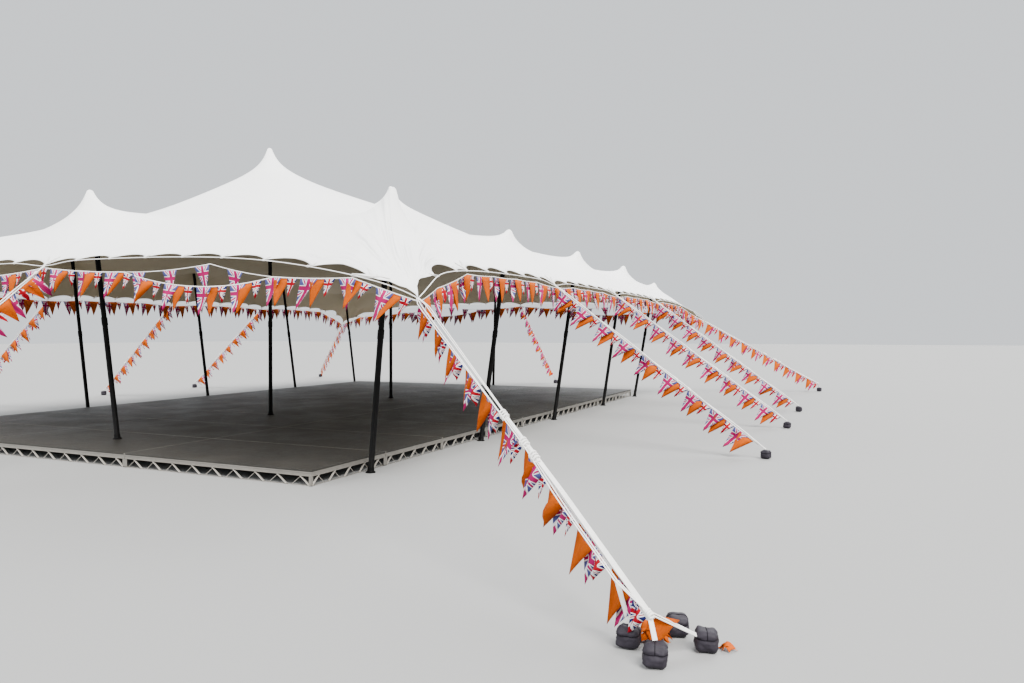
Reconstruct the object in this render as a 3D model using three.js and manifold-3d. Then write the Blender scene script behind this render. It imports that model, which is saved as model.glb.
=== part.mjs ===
// A stretch tent: one elastic fabric canopy over two king poles and twelve raked edge poles,
// held by roped guys to weighted ground anchors, with a low staging deck as its floor.
// Millimetres, +Z up. The origin is on the ground at the middle of the tent, -Y is the open
// front, +X the right-hand long side.

import * as THREE from 'three';
import { mergeVertices } from 'three/addons/utils/BufferGeometryUtils.js';
import Module from 'manifold-3d';

const wasm = await Module();
wasm.setup();

// Driving dimensions

const SEAT = 0.3;                    // gap left where two pieces touch

const HALF_WIDTH = 4780;             // free edge of the fabric, along the long sides
const HALF_LENGTH = 6220;            // free edge of the fabric, at the front and back
const CORNER_OUT = [280, 80];        // how far a corner is drawn out past those edges
const CORNER_REACH = 600;
const CORNER_HEIGHT = 1690;
const FRONT_EDGE = { height: 2165, settle: 900 };
const SIDE_EDGE = { height: 2060, settle: 600 };
const TIE_DIP = 45;                  // how far a guy pulls the edge down at its tie
const TIE_DIP_REACH = 300;
const FABRIC_THICKNESS = 12;
const PATCH = 42;                    // half width of the flat patch on a pole head
const SEAMS_ACROSS = [-2070, 2070];  // sewn seams along the tent, about these far from its middle
const SEAM_ALONG = 540;              // the one seam across the tent

const TUBE_RADIUS = 30;
const SIDE_POLE_X = 3750;            // foot, just outside the deck
const SIDE_HEAD_X = 4150;
const SIDE_POLE_ROWS = [-5060, -2570, 85, 2735, 5060];
const SIDE_HEAD_ROWS = [-5280, -2570, 85, 2735, 5160];
const SIDE_HEAD_HEIGHTS = [2810, 2740, 2720, 2700, 2520];
const FRONT_POLE = { foot: [200, -5140], head: [120, -5420], height: 3070 };
const BACK_POLE = { foot: [200, 5205], head: [120, 5520], height: 2900 };
const KING_POLES = [
  { name: 'king_pole_front', y: -2310, height: 4250 },
  { name: 'king_pole_back', y: 1030, height: 4250 },
];

const DECK_HEIGHT = 150;
const DECK_UNITS_WIDE = 3;           // staging units of 2440 by 1220
const DECK_HALF_WIDTH = 3660;
const DECK_FRONT = -5870;
const DECK_UNIT = 1220;
const DECK_UNITS_LONG = 9;
const DECK_BOARD = 60;               // ply and its edge rail together
const DECK_TRUSS = { thick: 24, chord: 14, post: 30, inset: 6 };

const EDGE_ROPE_RADIUS = 7;
const GUY_RADIUS = 10;
const BUNDLE_RADIUS = 22;            // the four strands of a corner guy
const KNOT_RADIUS = 36;
const FORK_HEIGHT = 205;
const CORNER_FORK = [7400, 8260];
const CORNER_BRANCH = 0.92;          // share of the bundle where the strap to the first stake parts
const CORNER_ANCHORS = [[7280, 8150], [7435, 8300], [7450, 7930], [7605, 8050]];
const SIDE_ANCHOR_X = 7300;
const SIDE_GUYS = [
  { name: 'front', row: 1, anchor: -2540 },
  { name: 'middle', row: 2, anchor: 450 },
  { name: 'back', row: 3, anchor: 3050 },
];
const END_GUY_X = 490;
const END_ANCHOR = [560, 8500];
const ANCHOR_SIZE = 120;
const ANCHOR_HEIGHT = 110;

const PENNANT_WIDTH = 180;
const PENNANT_DROP = 270;
const PENNANT_PITCH = 260;
const TAPE_HEIGHT = 16;
const BUNTING_THICKNESS = 4;
const SWAG_DROP = 110;
const FRONT_HOOKS = { reach: 4000, swags: 5 };
const SIDE_HOOKS = { reach: 5200, swags: 7 };

// Materials

function finish(color, roughness, metalness = 0) {
  return new THREE.MeshStandardMaterial({ color, roughness, metalness });
}

const white_fabric = finish(0xf4f3f0, 0.75);
const black_paint = finish(0x121212, 0.45, 0.3);
const white_rope = finish(0xeeece6, 0.8);
const orange_cloth = finish(0xf57c10, 0.8);
const dark_cover = finish(0x46414f, 0.85);
const dark_ply = finish(0x3c342f, 0.7);
const mill_aluminium = finish(0xbdb8ae, 0.4, 0.9);

// Solids

const tent = new THREE.Group();

function add(name, geometry, material, position = [0, 0, 0]) {
  const mesh = new THREE.Mesh(geometry, material);
  mesh.name = name;
  mesh.position.set(...position);
  tent.add(mesh);
  return mesh;
}

function solid(geometry) {
  const bare = geometry.index ? geometry.toNonIndexed() : geometry.clone();
  bare.deleteAttribute('normal');
  bare.deleteAttribute('uv');
  const merged = mergeVertices(bare, 1e-3);
  return new wasm.Manifold(new wasm.Mesh({
    numProp: 3,
    vertProperties: new Float32Array(merged.attributes.position.array),
    triVerts: new Uint32Array(merged.index.array),
  }));
}

function fused(geometries) {
  const mesh = geometries.map(solid).reduce((whole, next) => whole.add(next)).getMesh();
  return shell(Array.from(mesh.vertProperties), Array.from(mesh.triVerts));
}

function shell(positions, triangles) {
  const geometry = new THREE.BufferGeometry();
  geometry.setAttribute('position', new THREE.Float32BufferAttribute(positions, 3));
  geometry.setIndex(triangles);
  return geometry;
}

// A closed or capped skin over rings of points, each ring going round the same way.
function loft(rings, closed) {
  const sides = rings[0].length;
  const positions = rings.flat().flatMap((p) => [p.x, p.y, p.z]);
  const triangles = [];
  const spans = closed ? rings.length : rings.length - 1;
  for (let r = 0; r < spans; r++) {
    const here = r * sides;
    const there = ((r + 1) % rings.length) * sides;
    for (let k = 0; k < sides; k++) {
      const next = (k + 1) % sides;
      triangles.push(here + k, here + next, there + next, here + k, there + next, there + k);
    }
  }
  if (!closed) {
    const last = (rings.length - 1) * sides;
    for (let k = 1; k < sides - 1; k++) {
      triangles.push(0, k + 1, k, last, last + k, last + k + 1);
    }
  }
  return shell(positions, triangles);
}

// A straight round bar from one point to another, each end cut square to its own normal.
function bar(from, to, radius, fromNormal, toNormal, sides = 8) {
  const along = to.clone().sub(from).normalize();
  const across = new THREE.Vector3(0, 0, 1).cross(along).normalize();
  const over = along.clone().cross(across);
  const ends = [[from, fromNormal ?? along], [to, toNormal ?? along]];
  return loft(ends.map(([centre, normal]) => Array.from({ length: sides }, (_, k) => {
    const angle = (2 * Math.PI * (k + 0.5)) / sides;
    const offset = across.clone().multiplyScalar(radius * Math.cos(angle))
      .addScaledVector(over, radius * Math.sin(angle));
    const slide = -offset.dot(normal) / along.dot(normal);
    return centre.clone().add(offset).addScaledVector(along, slide);
  })), false);
}

// The fabric's shape. Its plan is a net of lines, drawn aside where a pole head or a corner
// stands off the net. Its height is that of a membrane under an uneven pull.

const pole_heads = [
  ...SIDE_HEAD_ROWS.flatMap((y, row) => [-1, 1].map((side) => (
    { at: [side * SIDE_HEAD_X, y], head: [side * SIDE_HEAD_X, y], height: SIDE_HEAD_HEIGHTS[row] }
  ))),
  { at: [0, SIDE_HEAD_ROWS[0]], head: FRONT_POLE.head, height: FRONT_POLE.height },
  { at: [0, SIDE_HEAD_ROWS[4]], head: BACK_POLE.head, height: BACK_POLE.height },
  { at: [0, SIDE_HEAD_ROWS[1]], head: [0, KING_POLES[0].y], height: KING_POLES[0].height },
  { at: [0, KING_POLES[1].y], head: [0, KING_POLES[1].y], height: KING_POLES[1].height },
];

const SIDES = [[1, 'right'], [-1, 'left']];
const ENDS = [[-1, 'front'], [1, 'back']];

// A pull is felt in full on a head's flat patch and dies away within its reach. That of a pole
// head also dies away towards the nearer free edge, which stays straight.
function plan(a, b) {
  const HEAD_REACH = 750;
  const FLAT = 2 * PATCH;
  let [x, y] = [a, b];
  for (const { at, head } of pole_heads) {
    const away = Math.max(0, Math.hypot(a - at[0], b - at[1]) - FLAT) / HEAD_REACH;
    const inside = (HALF_LENGTH - Math.abs(b)) / (HALF_LENGTH - Math.abs(at[1]) - FLAT);
    const share = Math.exp(-away * away) * Math.min(1, inside);
    x += (head[0] - at[0]) * share;
    y += (head[1] - at[1]) * share;
  }
  for (const [sx] of SIDES) {
    for (const [sy] of ENDS) {
      const away = Math.hypot(a - sx * HALF_WIDTH, b - sy * HALF_LENGTH) / CORNER_REACH;
      const share = Math.exp(-away * away);
      x += sx * CORNER_OUT[0] * share;
      y += sy * CORNER_OUT[1] * share;
    }
  }
  return [x, y];
}

// Net lines: three over each row of pole heads, and more in between, closer near the heads.
function net_lines(heads, half) {
  const LINE_GAP = 560;
  const stops = heads.flatMap((h) => [h - PATCH, h, h + PATCH]);
  const lines = [-half, ...stops, half];
  const filled = [lines[0]];
  for (let i = 1; i < lines.length; i++) {
    const gap = lines[i] - lines[i - 1];
    const extra = gap > 2 * PATCH ? Math.max(1, Math.round(gap / LINE_GAP)) : 0;
    for (let k = 1; k <= extra; k++) {
      filled.push(lines[i - 1] + gap * (0.5 - 0.5 * Math.cos((Math.PI * k) / (extra + 1))));
    }
    filled.push(lines[i]);
  }
  return filled;
}

const columns = [...net_lines([-SIDE_HEAD_X, 0, SIDE_HEAD_X], HALF_WIDTH), END_GUY_X]
  .sort((p, q) => p - q);
const rows = net_lines(
  [...SIDE_HEAD_ROWS, KING_POLES[1].y].sort((p, q) => p - q), HALF_LENGTH);
const WIDE = columns.length;
const LONG = rows.length;

const ties = [
  ...SIDE_GUYS.flatMap(({ row }) => SIDES.map(([side]) => [
    side * HALF_WIDTH, SIDE_HEAD_ROWS[row]])),
  ...ENDS.map(([end]) => [END_GUY_X, end * HALF_LENGTH]),
];

function edge_height(a, b) {
  const on_side = Math.abs(a) >= HALF_WIDTH;
  const { height, settle } = on_side ? SIDE_EDGE : FRONT_EDGE;
  const from_corner = on_side ? HALF_LENGTH - Math.abs(b) : HALF_WIDTH - Math.abs(a);
  let z = CORNER_HEIGHT + (height - CORNER_HEIGHT) * (1 - Math.exp(-from_corner / settle));
  for (const [ta, tb] of ties) {
    z -= TIE_DIP * Math.exp(-((Math.hypot(a - ta, b - tb) / TIE_DIP_REACH) ** 2));
  }
  return z;
}

function pinned_height(a, b) {
  if (Math.abs(a) >= HALF_WIDTH || Math.abs(b) >= HALF_LENGTH) return edge_height(a, b);
  const held = pole_heads.find(({ at }) => (
    Math.abs(a - at[0]) <= PATCH + 1 && Math.abs(b - at[1]) <= PATCH + 1));
  return held ? held.height : null;
}

const spots = rows.map((b) => columns.map((a) => new THREE.Vector2(...plan(a, b))));

// The pull in the fabric is even, and grows towards the two tall poles. It is stronger from head
// to head along the sides and ends, which keeps a low ridge there.
const KING_PULL = { times: 1.7, core: 240, per: 1000, fade: 0.69 };
const RIDGE_PULL = { side: 5.4, side_reach: 2000, end: 3, end_reach: 2400 };

function tension(spot, a, b, lengthways) {
  const near = Math.min(...KING_POLES.map(({ y }) => Math.hypot(spot.x, spot.y - y)));
  const rise = ((near + KING_PULL.core) / KING_PULL.per) ** KING_PULL.fade;
  const [off, extra, reach, between] = lengthways
    ? [Math.abs(a) - SIDE_HEAD_X, RIDGE_PULL.side, RIDGE_PULL.side_reach,
      Math.abs(b) < SIDE_HEAD_ROWS[4]]
    : [Math.abs(b) - SIDE_HEAD_ROWS[4], RIDGE_PULL.end, RIDGE_PULL.end_reach,
      Math.abs(a) < SIDE_HEAD_X];
  const ridge = between ? extra * Math.exp(-((off / reach) ** 2)) : 0;
  return (1 + ridge) * Math.max(1, KING_PULL.times / rise);
}

// Half the reach from a net point to its two neighbours on one line.
function half_reach(i, j, di, dj) {
  const to = (k) => {
    const other = spots[j + k * dj]?.[i + k * di];
    return other ? spots[j][i].distanceTo(other) : 0;
  };
  return (to(1) + to(-1)) / 2;
}

// The pull along one link of the net: its tension times the width it stands for, by its length.
function link(i, j, di, dj) {
  const [here, there] = [spots[j][i], spots[j + dj][i + di]];
  const width = (half_reach(i, j, dj, di) + half_reach(i + di, j + dj, dj, di)) / 2;
  const middle = here.clone().lerp(there, 0.5);
  const pull = tension(
    middle, (columns[i] + columns[i + di]) / 2, (rows[j] + rows[j + dj]) / 2, dj === 1);
  return (pull * width) / here.distanceTo(there);
}

function relaxed_heights() {
  const SWEEPS = 1200;
  const OVER = 1.8;
  const START = 2600;
  const pins = rows.map((b) => columns.map((a) => pinned_height(a, b)));
  const z = pins.map((line) => line.map((h) => h ?? START));
  const east = rows.map((_, j) => columns.slice(1).map((__, i) => link(i, j, 1, 0)));
  const north = rows.slice(1).map((_, j) => columns.map((__, i) => link(i, j, 0, 1)));
  for (let sweep = 0; sweep < SWEEPS; sweep++) {
    for (let j = 1; j < LONG - 1; j++) {
      for (let i = 1; i < WIDE - 1; i++) {
        if (pins[j][i] !== null) continue;
        const [e, w, n, s] = [east[j][i], east[j][i - 1], north[j][i], north[j - 1][i]];
        const drawn = e * z[j][i + 1] + w * z[j][i - 1] + n * z[j + 1][i] + s * z[j - 1][i];
        z[j][i] += OVER * (drawn / (e + w + n + s) - z[j][i]);
      }
    }
  }
  return z;
}

const heights = relaxed_heights();
const net = spots.map((line, j) => line.map(({ x, y }, i) => (
  new THREE.Vector3(x, y, heights[j][i]))));

// The border of part of the net, counterclockwise seen from above, from its front left corner.
function border_of([i0, i1], [j0, j1]) {
  const path = [];
  for (let i = i0; i < i1; i++) path.push([i, j0]);
  for (let j = j0; j < j1; j++) path.push([i1, j]);
  for (let i = i1; i > i0; i--) path.push([i, j1]);
  for (let j = j1; j > j0; j--) path.push([i0, j]);
  return path;
}

// One sewn panel of the canopy: the net between two columns and two rows, with its thickness.
function panel_geometry([i0, i1], [j0, j1]) {
  const wide = i1 - i0 + 1;
  const top = [];
  for (let j = j0; j <= j1; j++) {
    for (let i = i0; i <= i1; i++) {
      const point = net[j][i].clone();
      if (i === i0 && i > 0) point.x += SEAT / 2;
      if (i === i1 && i < WIDE - 1) point.x -= SEAT / 2;
      if (j === j0 && j > 0) point.y += SEAT / 2;
      if (j === j1 && j < LONG - 1) point.y -= SEAT / 2;
      top.push(point);
    }
  }
  const bottom = top.map((p) => p.clone().setZ(p.z - FABRIC_THICKNESS));
  const under = top.length;
  const at = (i, j) => (j - j0) * wide + i - i0;
  const triangles = [];
  for (let j = j0; j < j1; j++) {
    for (let i = i0; i < i1; i++) {
      const [p, q, r, s] = [at(i, j), at(i + 1, j), at(i + 1, j + 1), at(i, j + 1)];
      triangles.push(p, q, r, p, r, s);
      triangles.push(under + p, under + r, under + q, under + p, under + s, under + r);
    }
  }
  const rim = border_of([i0, i1], [j0, j1]).map(([i, j]) => at(i, j));
  rim.forEach((p, k) => {
    const q = rim[(k + 1) % rim.length];
    triangles.push(p, under + p, under + q, p, under + q, q);
  });
  return shell([...top, ...bottom].flatMap((p) => [p.x, p.y, p.z]), triangles);
}

const nearest = (lines, value) => lines.reduce(
  (best, line, k) => (Math.abs(line - value) < Math.abs(lines[best] - value) ? k : best), 0);

const across = [0, ...SEAMS_ACROSS.map((x) => nearest(columns, x)), WIDE - 1];
const along = [0, nearest(rows, SEAM_ALONG), LONG - 1];
['left', 'middle', 'right'].forEach((strip, k) => {
  ['front', 'back'].forEach((half, m) => add(
    `canopy_${half}_${strip}`,
    panel_geometry([across[k], across[k + 1]], [along[m], along[m + 1]]),
    white_fabric,
  ));
});

// The rope that runs along the free edge, one ring right round the tent.

const ROPE_SIDES = 6;
const ROPE_APOTHEM = EDGE_ROPE_RADIUS * Math.cos(Math.PI / ROPE_SIDES);

function rope_line() {
  const rim = border_of([0, WIDE - 1], [0, LONG - 1]).map(([i, j]) => net[j][i]);
  return rim.map((p, k) => {
    const before = rim[(k + rim.length - 1) % rim.length];
    const after = rim[(k + 1) % rim.length];
    const out = (from, to) => new THREE.Vector3(to.y - from.y, from.x - to.x, 0).normalize();
    const [first, second] = [out(before, p), out(p, after)];
    const outward = first.clone().add(second).normalize();
    outward.divideScalar(outward.dot(first));
    const centre = p.clone().addScaledVector(outward, ROPE_APOTHEM + SEAT);
    centre.z -= FABRIC_THICKNESS / 2;
    return { centre, outward };
  });
}

const edge_rope = rope_line();

const edge_rope_rings = edge_rope.map(({ centre, outward }) => (
  Array.from({ length: ROPE_SIDES }, (_, k) => {
    const angle = (2 * Math.PI * (k + 0.5)) / ROPE_SIDES;
    const point = centre.clone().addScaledVector(outward, EDGE_ROPE_RADIUS * Math.cos(angle));
    point.z -= EDGE_ROPE_RADIUS * Math.sin(angle);
    return point;
  })
));

add('edge_rope', loft(edge_rope_rings, true), white_rope);

// Where the rope passes a place on the net's border, between its two nearest points.
function rope_at(side_axis, side_sign, value) {
  const other = side_axis === 'x' ? 'y' : 'x';
  const limit = (side_axis === 'x' ? HALF_WIDTH : HALF_LENGTH) - 1;
  const line = edge_rope.map(({ centre }) => centre)
    .filter((p) => side_sign * p[side_axis] > limit)
    .sort((p, q) => p[other] - q[other]);
  const k = line.findIndex((p) => p[other] >= value);
  const share = (value - line[k - 1][other]) / (line[k][other] - line[k - 1][other]);
  return line[k - 1].clone().lerp(line[k], share);
}

// Poles: one lathed body each, sheared to its rake so that both ends stay level.

function pole_geometry(length, rake) {
  const SECTIONS = 10;
  const FOOT = { radius: 60, height: 10, neck: 36 };
  const HEAD = { radius: 38, crown: 10, height: 30 };
  const profile = [
    [0, 0],
    [FOOT.radius, 0],
    [FOOT.radius, FOOT.height],
    [FOOT.neck, FOOT.height * 2],
    [TUBE_RADIUS, FOOT.height * 6],
    [TUBE_RADIUS, length - HEAD.height * 2],
    [HEAD.radius, length - HEAD.height],
    [HEAD.radius, length - HEAD.crown],
    [HEAD.radius - HEAD.crown, length],
    [0, length],
  ].map(([r, z]) => new THREE.Vector2(r, z));
  const lathe = new THREE.LatheGeometry(profile, SECTIONS);
  lathe.rotateX(Math.PI / 2);
  const points = lathe.attributes.position;
  for (let k = 0; k < points.count; k++) {
    const rise = points.getZ(k) / length;
    points.setX(k, points.getX(k) + rise * rake[0]);
    points.setY(k, points.getY(k) + rise * rake[1]);
  }
  return lathe;
}

function add_pole(name, foot, head) {
  const length = head[2] - FABRIC_THICKNESS - SEAT - foot[2];
  add(name, pole_geometry(length, [head[0] - foot[0], head[1] - foot[1]]), black_paint, foot);
}

const on_deck = DECK_HEIGHT + SEAT;
for (const [side, hand] of SIDES) {
  SIDE_POLE_ROWS.forEach((y, row) => add_pole(
    `side_pole_${hand}_${row + 1}`,
    [side * SIDE_POLE_X, y, 0],
    [side * SIDE_HEAD_X, SIDE_HEAD_ROWS[row], SIDE_HEAD_HEIGHTS[row]],
  ));
}
add_pole('front_pole', [...FRONT_POLE.foot, on_deck], [...FRONT_POLE.head, FRONT_POLE.height]);
add_pole('back_pole', [...BACK_POLE.foot, 0], [...BACK_POLE.head, BACK_POLE.height]);
for (const { name, y, height } of KING_POLES) {
  add_pole(name, [0, y, on_deck], [0, y, height]);
}

// Anchors: padded covers over the ground stakes.

function anchor_geometry() {
  const ROUND = 18;
  const half = ANCHOR_SIZE / 2 - ROUND;
  const outline = new THREE.Shape([[-half, -half], [half, -half], [half, half], [-half, half]]
    .map(([x, y]) => new THREE.Vector2(x, y)));
  const block = new THREE.ExtrudeGeometry(outline, {
    depth: ANCHOR_HEIGHT - 2 * ROUND, bevelThickness: ROUND, bevelSize: ROUND, bevelSegments: 2,
  });
  block.translate(0, 0, ROUND);
  return block;
}

function add_anchor(name, x, y) {
  add(name, anchor_geometry(), dark_cover, [x, y, 0]);
  return new THREE.Vector3(x, y, ANCHOR_HEIGHT + SEAT);
}

// Guys: a rope from the edge down to its anchor, with pennants hung along it.

const LEVEL = new THREE.Vector3(0, 0, 1);

// Where a guy that pulls away from the edge first clears the edge rope, and the plane, level
// with the rope's run there, that its end is cut to.
function tie_end(tie, towards) {
  const k = edge_rope.findIndex(({ centre }) => centre.distanceTo(tie) < 1);
  const count = edge_rope.length;
  const [before, after] = [edge_rope[(k + count - 1) % count], edge_rope[(k + 1) % count]];
  const run = after.centre.clone().sub(before.centre).normalize();
  const pull = towards.clone().sub(tie).normalize();
  const square = pull.clone().addScaledVector(run, -pull.dot(run)).normalize();
  const reach = Math.max(...edge_rope_rings[k].map((p) => p.clone().sub(tie).dot(square)));
  return { start: tie.clone().addScaledVector(pull, (reach + SEAT) / pull.dot(square)), square };
}

// Pennants in the upright plane below a sloping rope.
function guy_pennants(from, to, radius) {
  const START = 150;
  const END = 420;
  const run = Math.hypot(to.x - from.x, to.y - from.y);
  const fall = (to.z - from.z) / run;
  const line = (s) => s * fall;
  const bottom = line(run) - to.z;
  const outline = [[START, line(START)]];
  for (let s = START; s + PENNANT_WIDTH < run - END; s += PENNANT_PITCH) {
    const drop = radius + TAPE_HEIGHT / 2;
    const tip = line(s + PENNANT_WIDTH / 2) - PENNANT_DROP;
    if (tip < -from.z + KNOT_RADIUS) break;
    outline.push([s, line(s) - drop], [s + PENNANT_WIDTH / 2, tip]);
    outline.push([s + PENNANT_WIDTH, line(s + PENNANT_WIDTH) - drop]);
  }
  const last = outline.at(-1)[0] + TAPE_HEIGHT;
  outline.push([last, line(last)]);
  const strip = new THREE.ExtrudeGeometry(
    new THREE.Shape(outline.map(([s, z]) => new THREE.Vector2(s, z))),
    { depth: BUNTING_THICKNESS, bevelEnabled: false });
  strip.translate(0, 0, -BUNTING_THICKNESS / 2);
  strip.rotateX(Math.PI / 2);
  strip.rotateZ(Math.atan2(to.y - from.y, to.x - from.x));
  strip.translate(from.x, from.y, from.z);
  return strip;
}

function add_guy(name, tie, seat) {
  const { start, square } = tie_end(tie, seat);
  add(name, fused([
    bar(start, seat, GUY_RADIUS, square, LEVEL),
    guy_pennants(start, seat, GUY_RADIUS),
  ]), white_rope);
}

function add_corner_guy(name, sx, sy, seats) {
  const corner = edge_rope.map(({ centre }) => centre)
    .find((p) => sx * p.x > HALF_WIDTH + CORNER_OUT[0] / 2 && sy * p.y > HALF_LENGTH + CORNER_OUT[1]);
  const fork = new THREE.Vector3(sx * CORNER_FORK[0], sy * CORNER_FORK[1], FORK_HEIGHT);
  const { start, square } = tie_end(corner, fork);
  const knot = new THREE.IcosahedronGeometry(KNOT_RADIUS, 1).translate(...fork.toArray());
  const branch = seats.length > 1 ? start.clone().lerp(fork, CORNER_BRANCH) : fork;
  add(name, fused([
    bar(start, fork, BUNDLE_RADIUS, square),
    guy_pennants(start, fork, BUNDLE_RADIUS),
    knot,
    ...seats.map((seat, k) => bar(k === 0 ? branch : fork, seat, GUY_RADIUS, undefined, LEVEL)),
  ]), white_rope);
}

for (const [side, hand] of SIDES) {
  for (const { name, row, anchor } of SIDE_GUYS) {
    const seat = add_anchor(`anchor_${hand}_${name}`, side * SIDE_ANCHOR_X, anchor);
    add_guy(`guy_${hand}_${name}`, rope_at('x', side, SIDE_HEAD_ROWS[row]), seat);
  }
}
for (const [end, which] of ENDS) {
  const seat = add_anchor(`anchor_${which}_centre`, END_ANCHOR[0], end * END_ANCHOR[1]);
  add_guy(`guy_${which}_centre`, rope_at('y', end, END_GUY_X), seat);
  for (const [side, hand] of SIDES) {
    const stakes = which === 'front' ? CORNER_ANCHORS : CORNER_ANCHORS.slice(1, 2);
    const seats = stakes.map(([x, y], k) => (
      add_anchor(`anchor_${which}_${hand}_${k + 1}`, side * x, end * y)));
    add_corner_guy(`guy_corner_${which}_${hand}`, side, end, seats);
  }
}

// Bunting along each edge: swags hooked to the edge rope, cut as one outline in an upright plane.

const HOOK = 10;

function swag_outline(reach, swags, rope_underside) {
  const STEPS = 5;
  const span = (2 * reach) / swags;
  const hooks = Array.from({ length: swags + 1 }, (_, k) => -reach + k * span);
  const tape = (s) => {
    const k = Math.min(swags - 1, Math.floor((s + reach) / span));
    const t = (s - hooks[k]) / span;
    const base = rope_underside(hooks[k]) * (1 - t) + rope_underside(hooks[k + 1]) * t;
    return base - TAPE_HEIGHT - SWAG_DROP * 4 * t * (1 - t);
  };
  const over = [];
  hooks.forEach((h, k) => {
    if (k > 0) over.push([h - HOOK, tape(h - HOOK)]);
    over.push([h - HOOK * Math.sign(k), rope_underside(h) - SEAT]);
    over.push([h + HOOK * Math.sign(swags - k), rope_underside(h) - SEAT]);
    if (k < swags) {
      over.push([h + HOOK, tape(h + HOOK)]);
      for (let n = 1; n < STEPS; n++) over.push([h + (n * span) / STEPS, tape(h + (n * span) / STEPS)]);
    }
  });
  const below = [];
  const count = Math.floor((2 * reach - PENNANT_WIDTH) / PENNANT_PITCH) + 1;
  const margin = (2 * reach - (count - 1) * PENNANT_PITCH - PENNANT_WIDTH) / 2;
  const lower = (s) => tape(s) - TAPE_HEIGHT;
  below.push([-reach, lower(-reach)]);
  for (let n = 0; n < count; n++) {
    const s = -reach + margin + n * PENNANT_PITCH;
    below.push([s, lower(s)]);
    below.push([s + PENNANT_WIDTH / 2, lower(s + PENNANT_WIDTH / 2) - PENNANT_DROP]);
    below.push([s + PENNANT_WIDTH, lower(s + PENNANT_WIDTH)]);
  }
  below.push([reach, lower(reach)]);
  return new THREE.Shape([...below, ...over.reverse()].map(([s, z]) => new THREE.Vector2(s, z)));
}

function add_bunting(name, side_axis, side_sign, { reach, swags }) {
  const underside = (s) => Math.min(...[-HOOK, 0, HOOK].map((off) => (
    rope_at(side_axis, side_sign, s + off).z))) - EDGE_ROPE_RADIUS;
  const strip = new THREE.ExtrudeGeometry(swag_outline(reach, swags, underside),
    { depth: BUNTING_THICKNESS, bevelEnabled: false });
  strip.translate(0, 0, -BUNTING_THICKNESS / 2);
  strip.rotateX(Math.PI / 2);
  const plane = rope_at(side_axis, side_sign, 0)[side_axis];
  if (side_axis === 'x') strip.rotateZ(Math.PI / 2).translate(plane, 0, 0);
  else strip.translate(0, plane, 0);
  add(name, strip, orange_cloth);
}

add_bunting('bunting_front', 'y', -1, FRONT_HOOKS);
add_bunting('bunting_back', 'y', 1, FRONT_HOOKS);
add_bunting('bunting_right', 'x', 1, SIDE_HOOKS);
add_bunting('bunting_left', 'x', -1, SIDE_HOOKS);

// Deck: one raised floor of staging units, on an open trussed frame along each edge.

const deck_length = DECK_UNIT * DECK_UNITS_LONG;
const deck_middle = DECK_FRONT + deck_length / 2;
const floor = new THREE.BoxGeometry(2 * DECK_HALF_WIDTH, deck_length, DECK_BOARD);
add('deck_floor', floor, dark_ply, [0, deck_middle, DECK_HEIGHT - DECK_BOARD / 2]);

// The open truss under the deck's edge: two chords round the floor, and a post at each joint
// of the staging units.
function deck_frame_geometry() {
  const { thick, chord, post, inset } = DECK_TRUSS;
  const high = DECK_HEIGHT - DECK_BOARD - SEAT;
  const [half_x, half_y] = [DECK_HALF_WIDTH - inset, deck_length / 2 - inset];
  const corners = (x, y) => [[-x, -y], [x, -y], [x, y], [-x, y]].map((c) => new THREE.Vector2(...c));
  const ring = new THREE.Shape(corners(half_x, half_y));
  ring.holes.push(new THREE.Path(corners(half_x - thick, half_y - thick)));
  const chords = [0, high - chord].map((z) => (
    new THREE.ExtrudeGeometry(ring, { depth: chord, bevelEnabled: false }).translate(0, 0, z)));
  const slim = thick * 0.75;
  const stand = (sx, sy, x, y) => (
    new THREE.BoxGeometry(sx, sy, high - chord).translate(x, y, high / 2));
  const posts = [];
  for (const side of [-1, 1]) {
    for (let k = 0; k <= DECK_UNITS_LONG; k++) {
      const y = (k / DECK_UNITS_LONG - 0.5) * (2 * half_y - 2 * post);
      posts.push(stand(slim, post, side * (half_x - thick / 2), y));
    }
    for (let k = 1; k < DECK_UNITS_WIDE; k++) {
      const x = (k / DECK_UNITS_WIDE - 0.5) * 2 * half_x;
      posts.push(stand(post, slim, x, side * (half_y - thick / 2)));
    }
  }
  return fused([...chords, ...posts]).translate(0, deck_middle, 0);
}

add('deck_frame', deck_frame_geometry(), mill_aluminium);

export default tent;
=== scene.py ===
"""A stretch tent: white elastic canopy, raked black poles, roped guys with bunting, low deck.

Every length is in metres. The origin is on the ground at the middle of the tent, -Y is its open
front and +X its right-hand long side, and +Z is up.
"""

import functools
import math
import random

import bmesh
import bpy
import numpy as np
from mathutils import Matrix, Vector, noise
from mathutils.bvhtree import BVHTree


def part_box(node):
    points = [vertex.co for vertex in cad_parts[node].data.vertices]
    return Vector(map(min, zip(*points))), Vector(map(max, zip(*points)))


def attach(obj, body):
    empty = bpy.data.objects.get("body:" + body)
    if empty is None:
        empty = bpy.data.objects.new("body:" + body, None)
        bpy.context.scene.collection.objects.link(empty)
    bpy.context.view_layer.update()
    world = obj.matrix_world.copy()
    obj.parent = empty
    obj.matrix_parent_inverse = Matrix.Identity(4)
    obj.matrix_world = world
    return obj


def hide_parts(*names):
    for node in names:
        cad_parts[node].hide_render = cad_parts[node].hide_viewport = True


bl_info = {
    "name": "Stretch tent",
    "version": (1, 0, 0),
    "blender": (4, 5, 0),
    "location": "View3D > Sidebar > Stretch tent",
    "description": "Builds a stretch tent round its construction model",
    "category": "Add Mesh",
}

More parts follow.
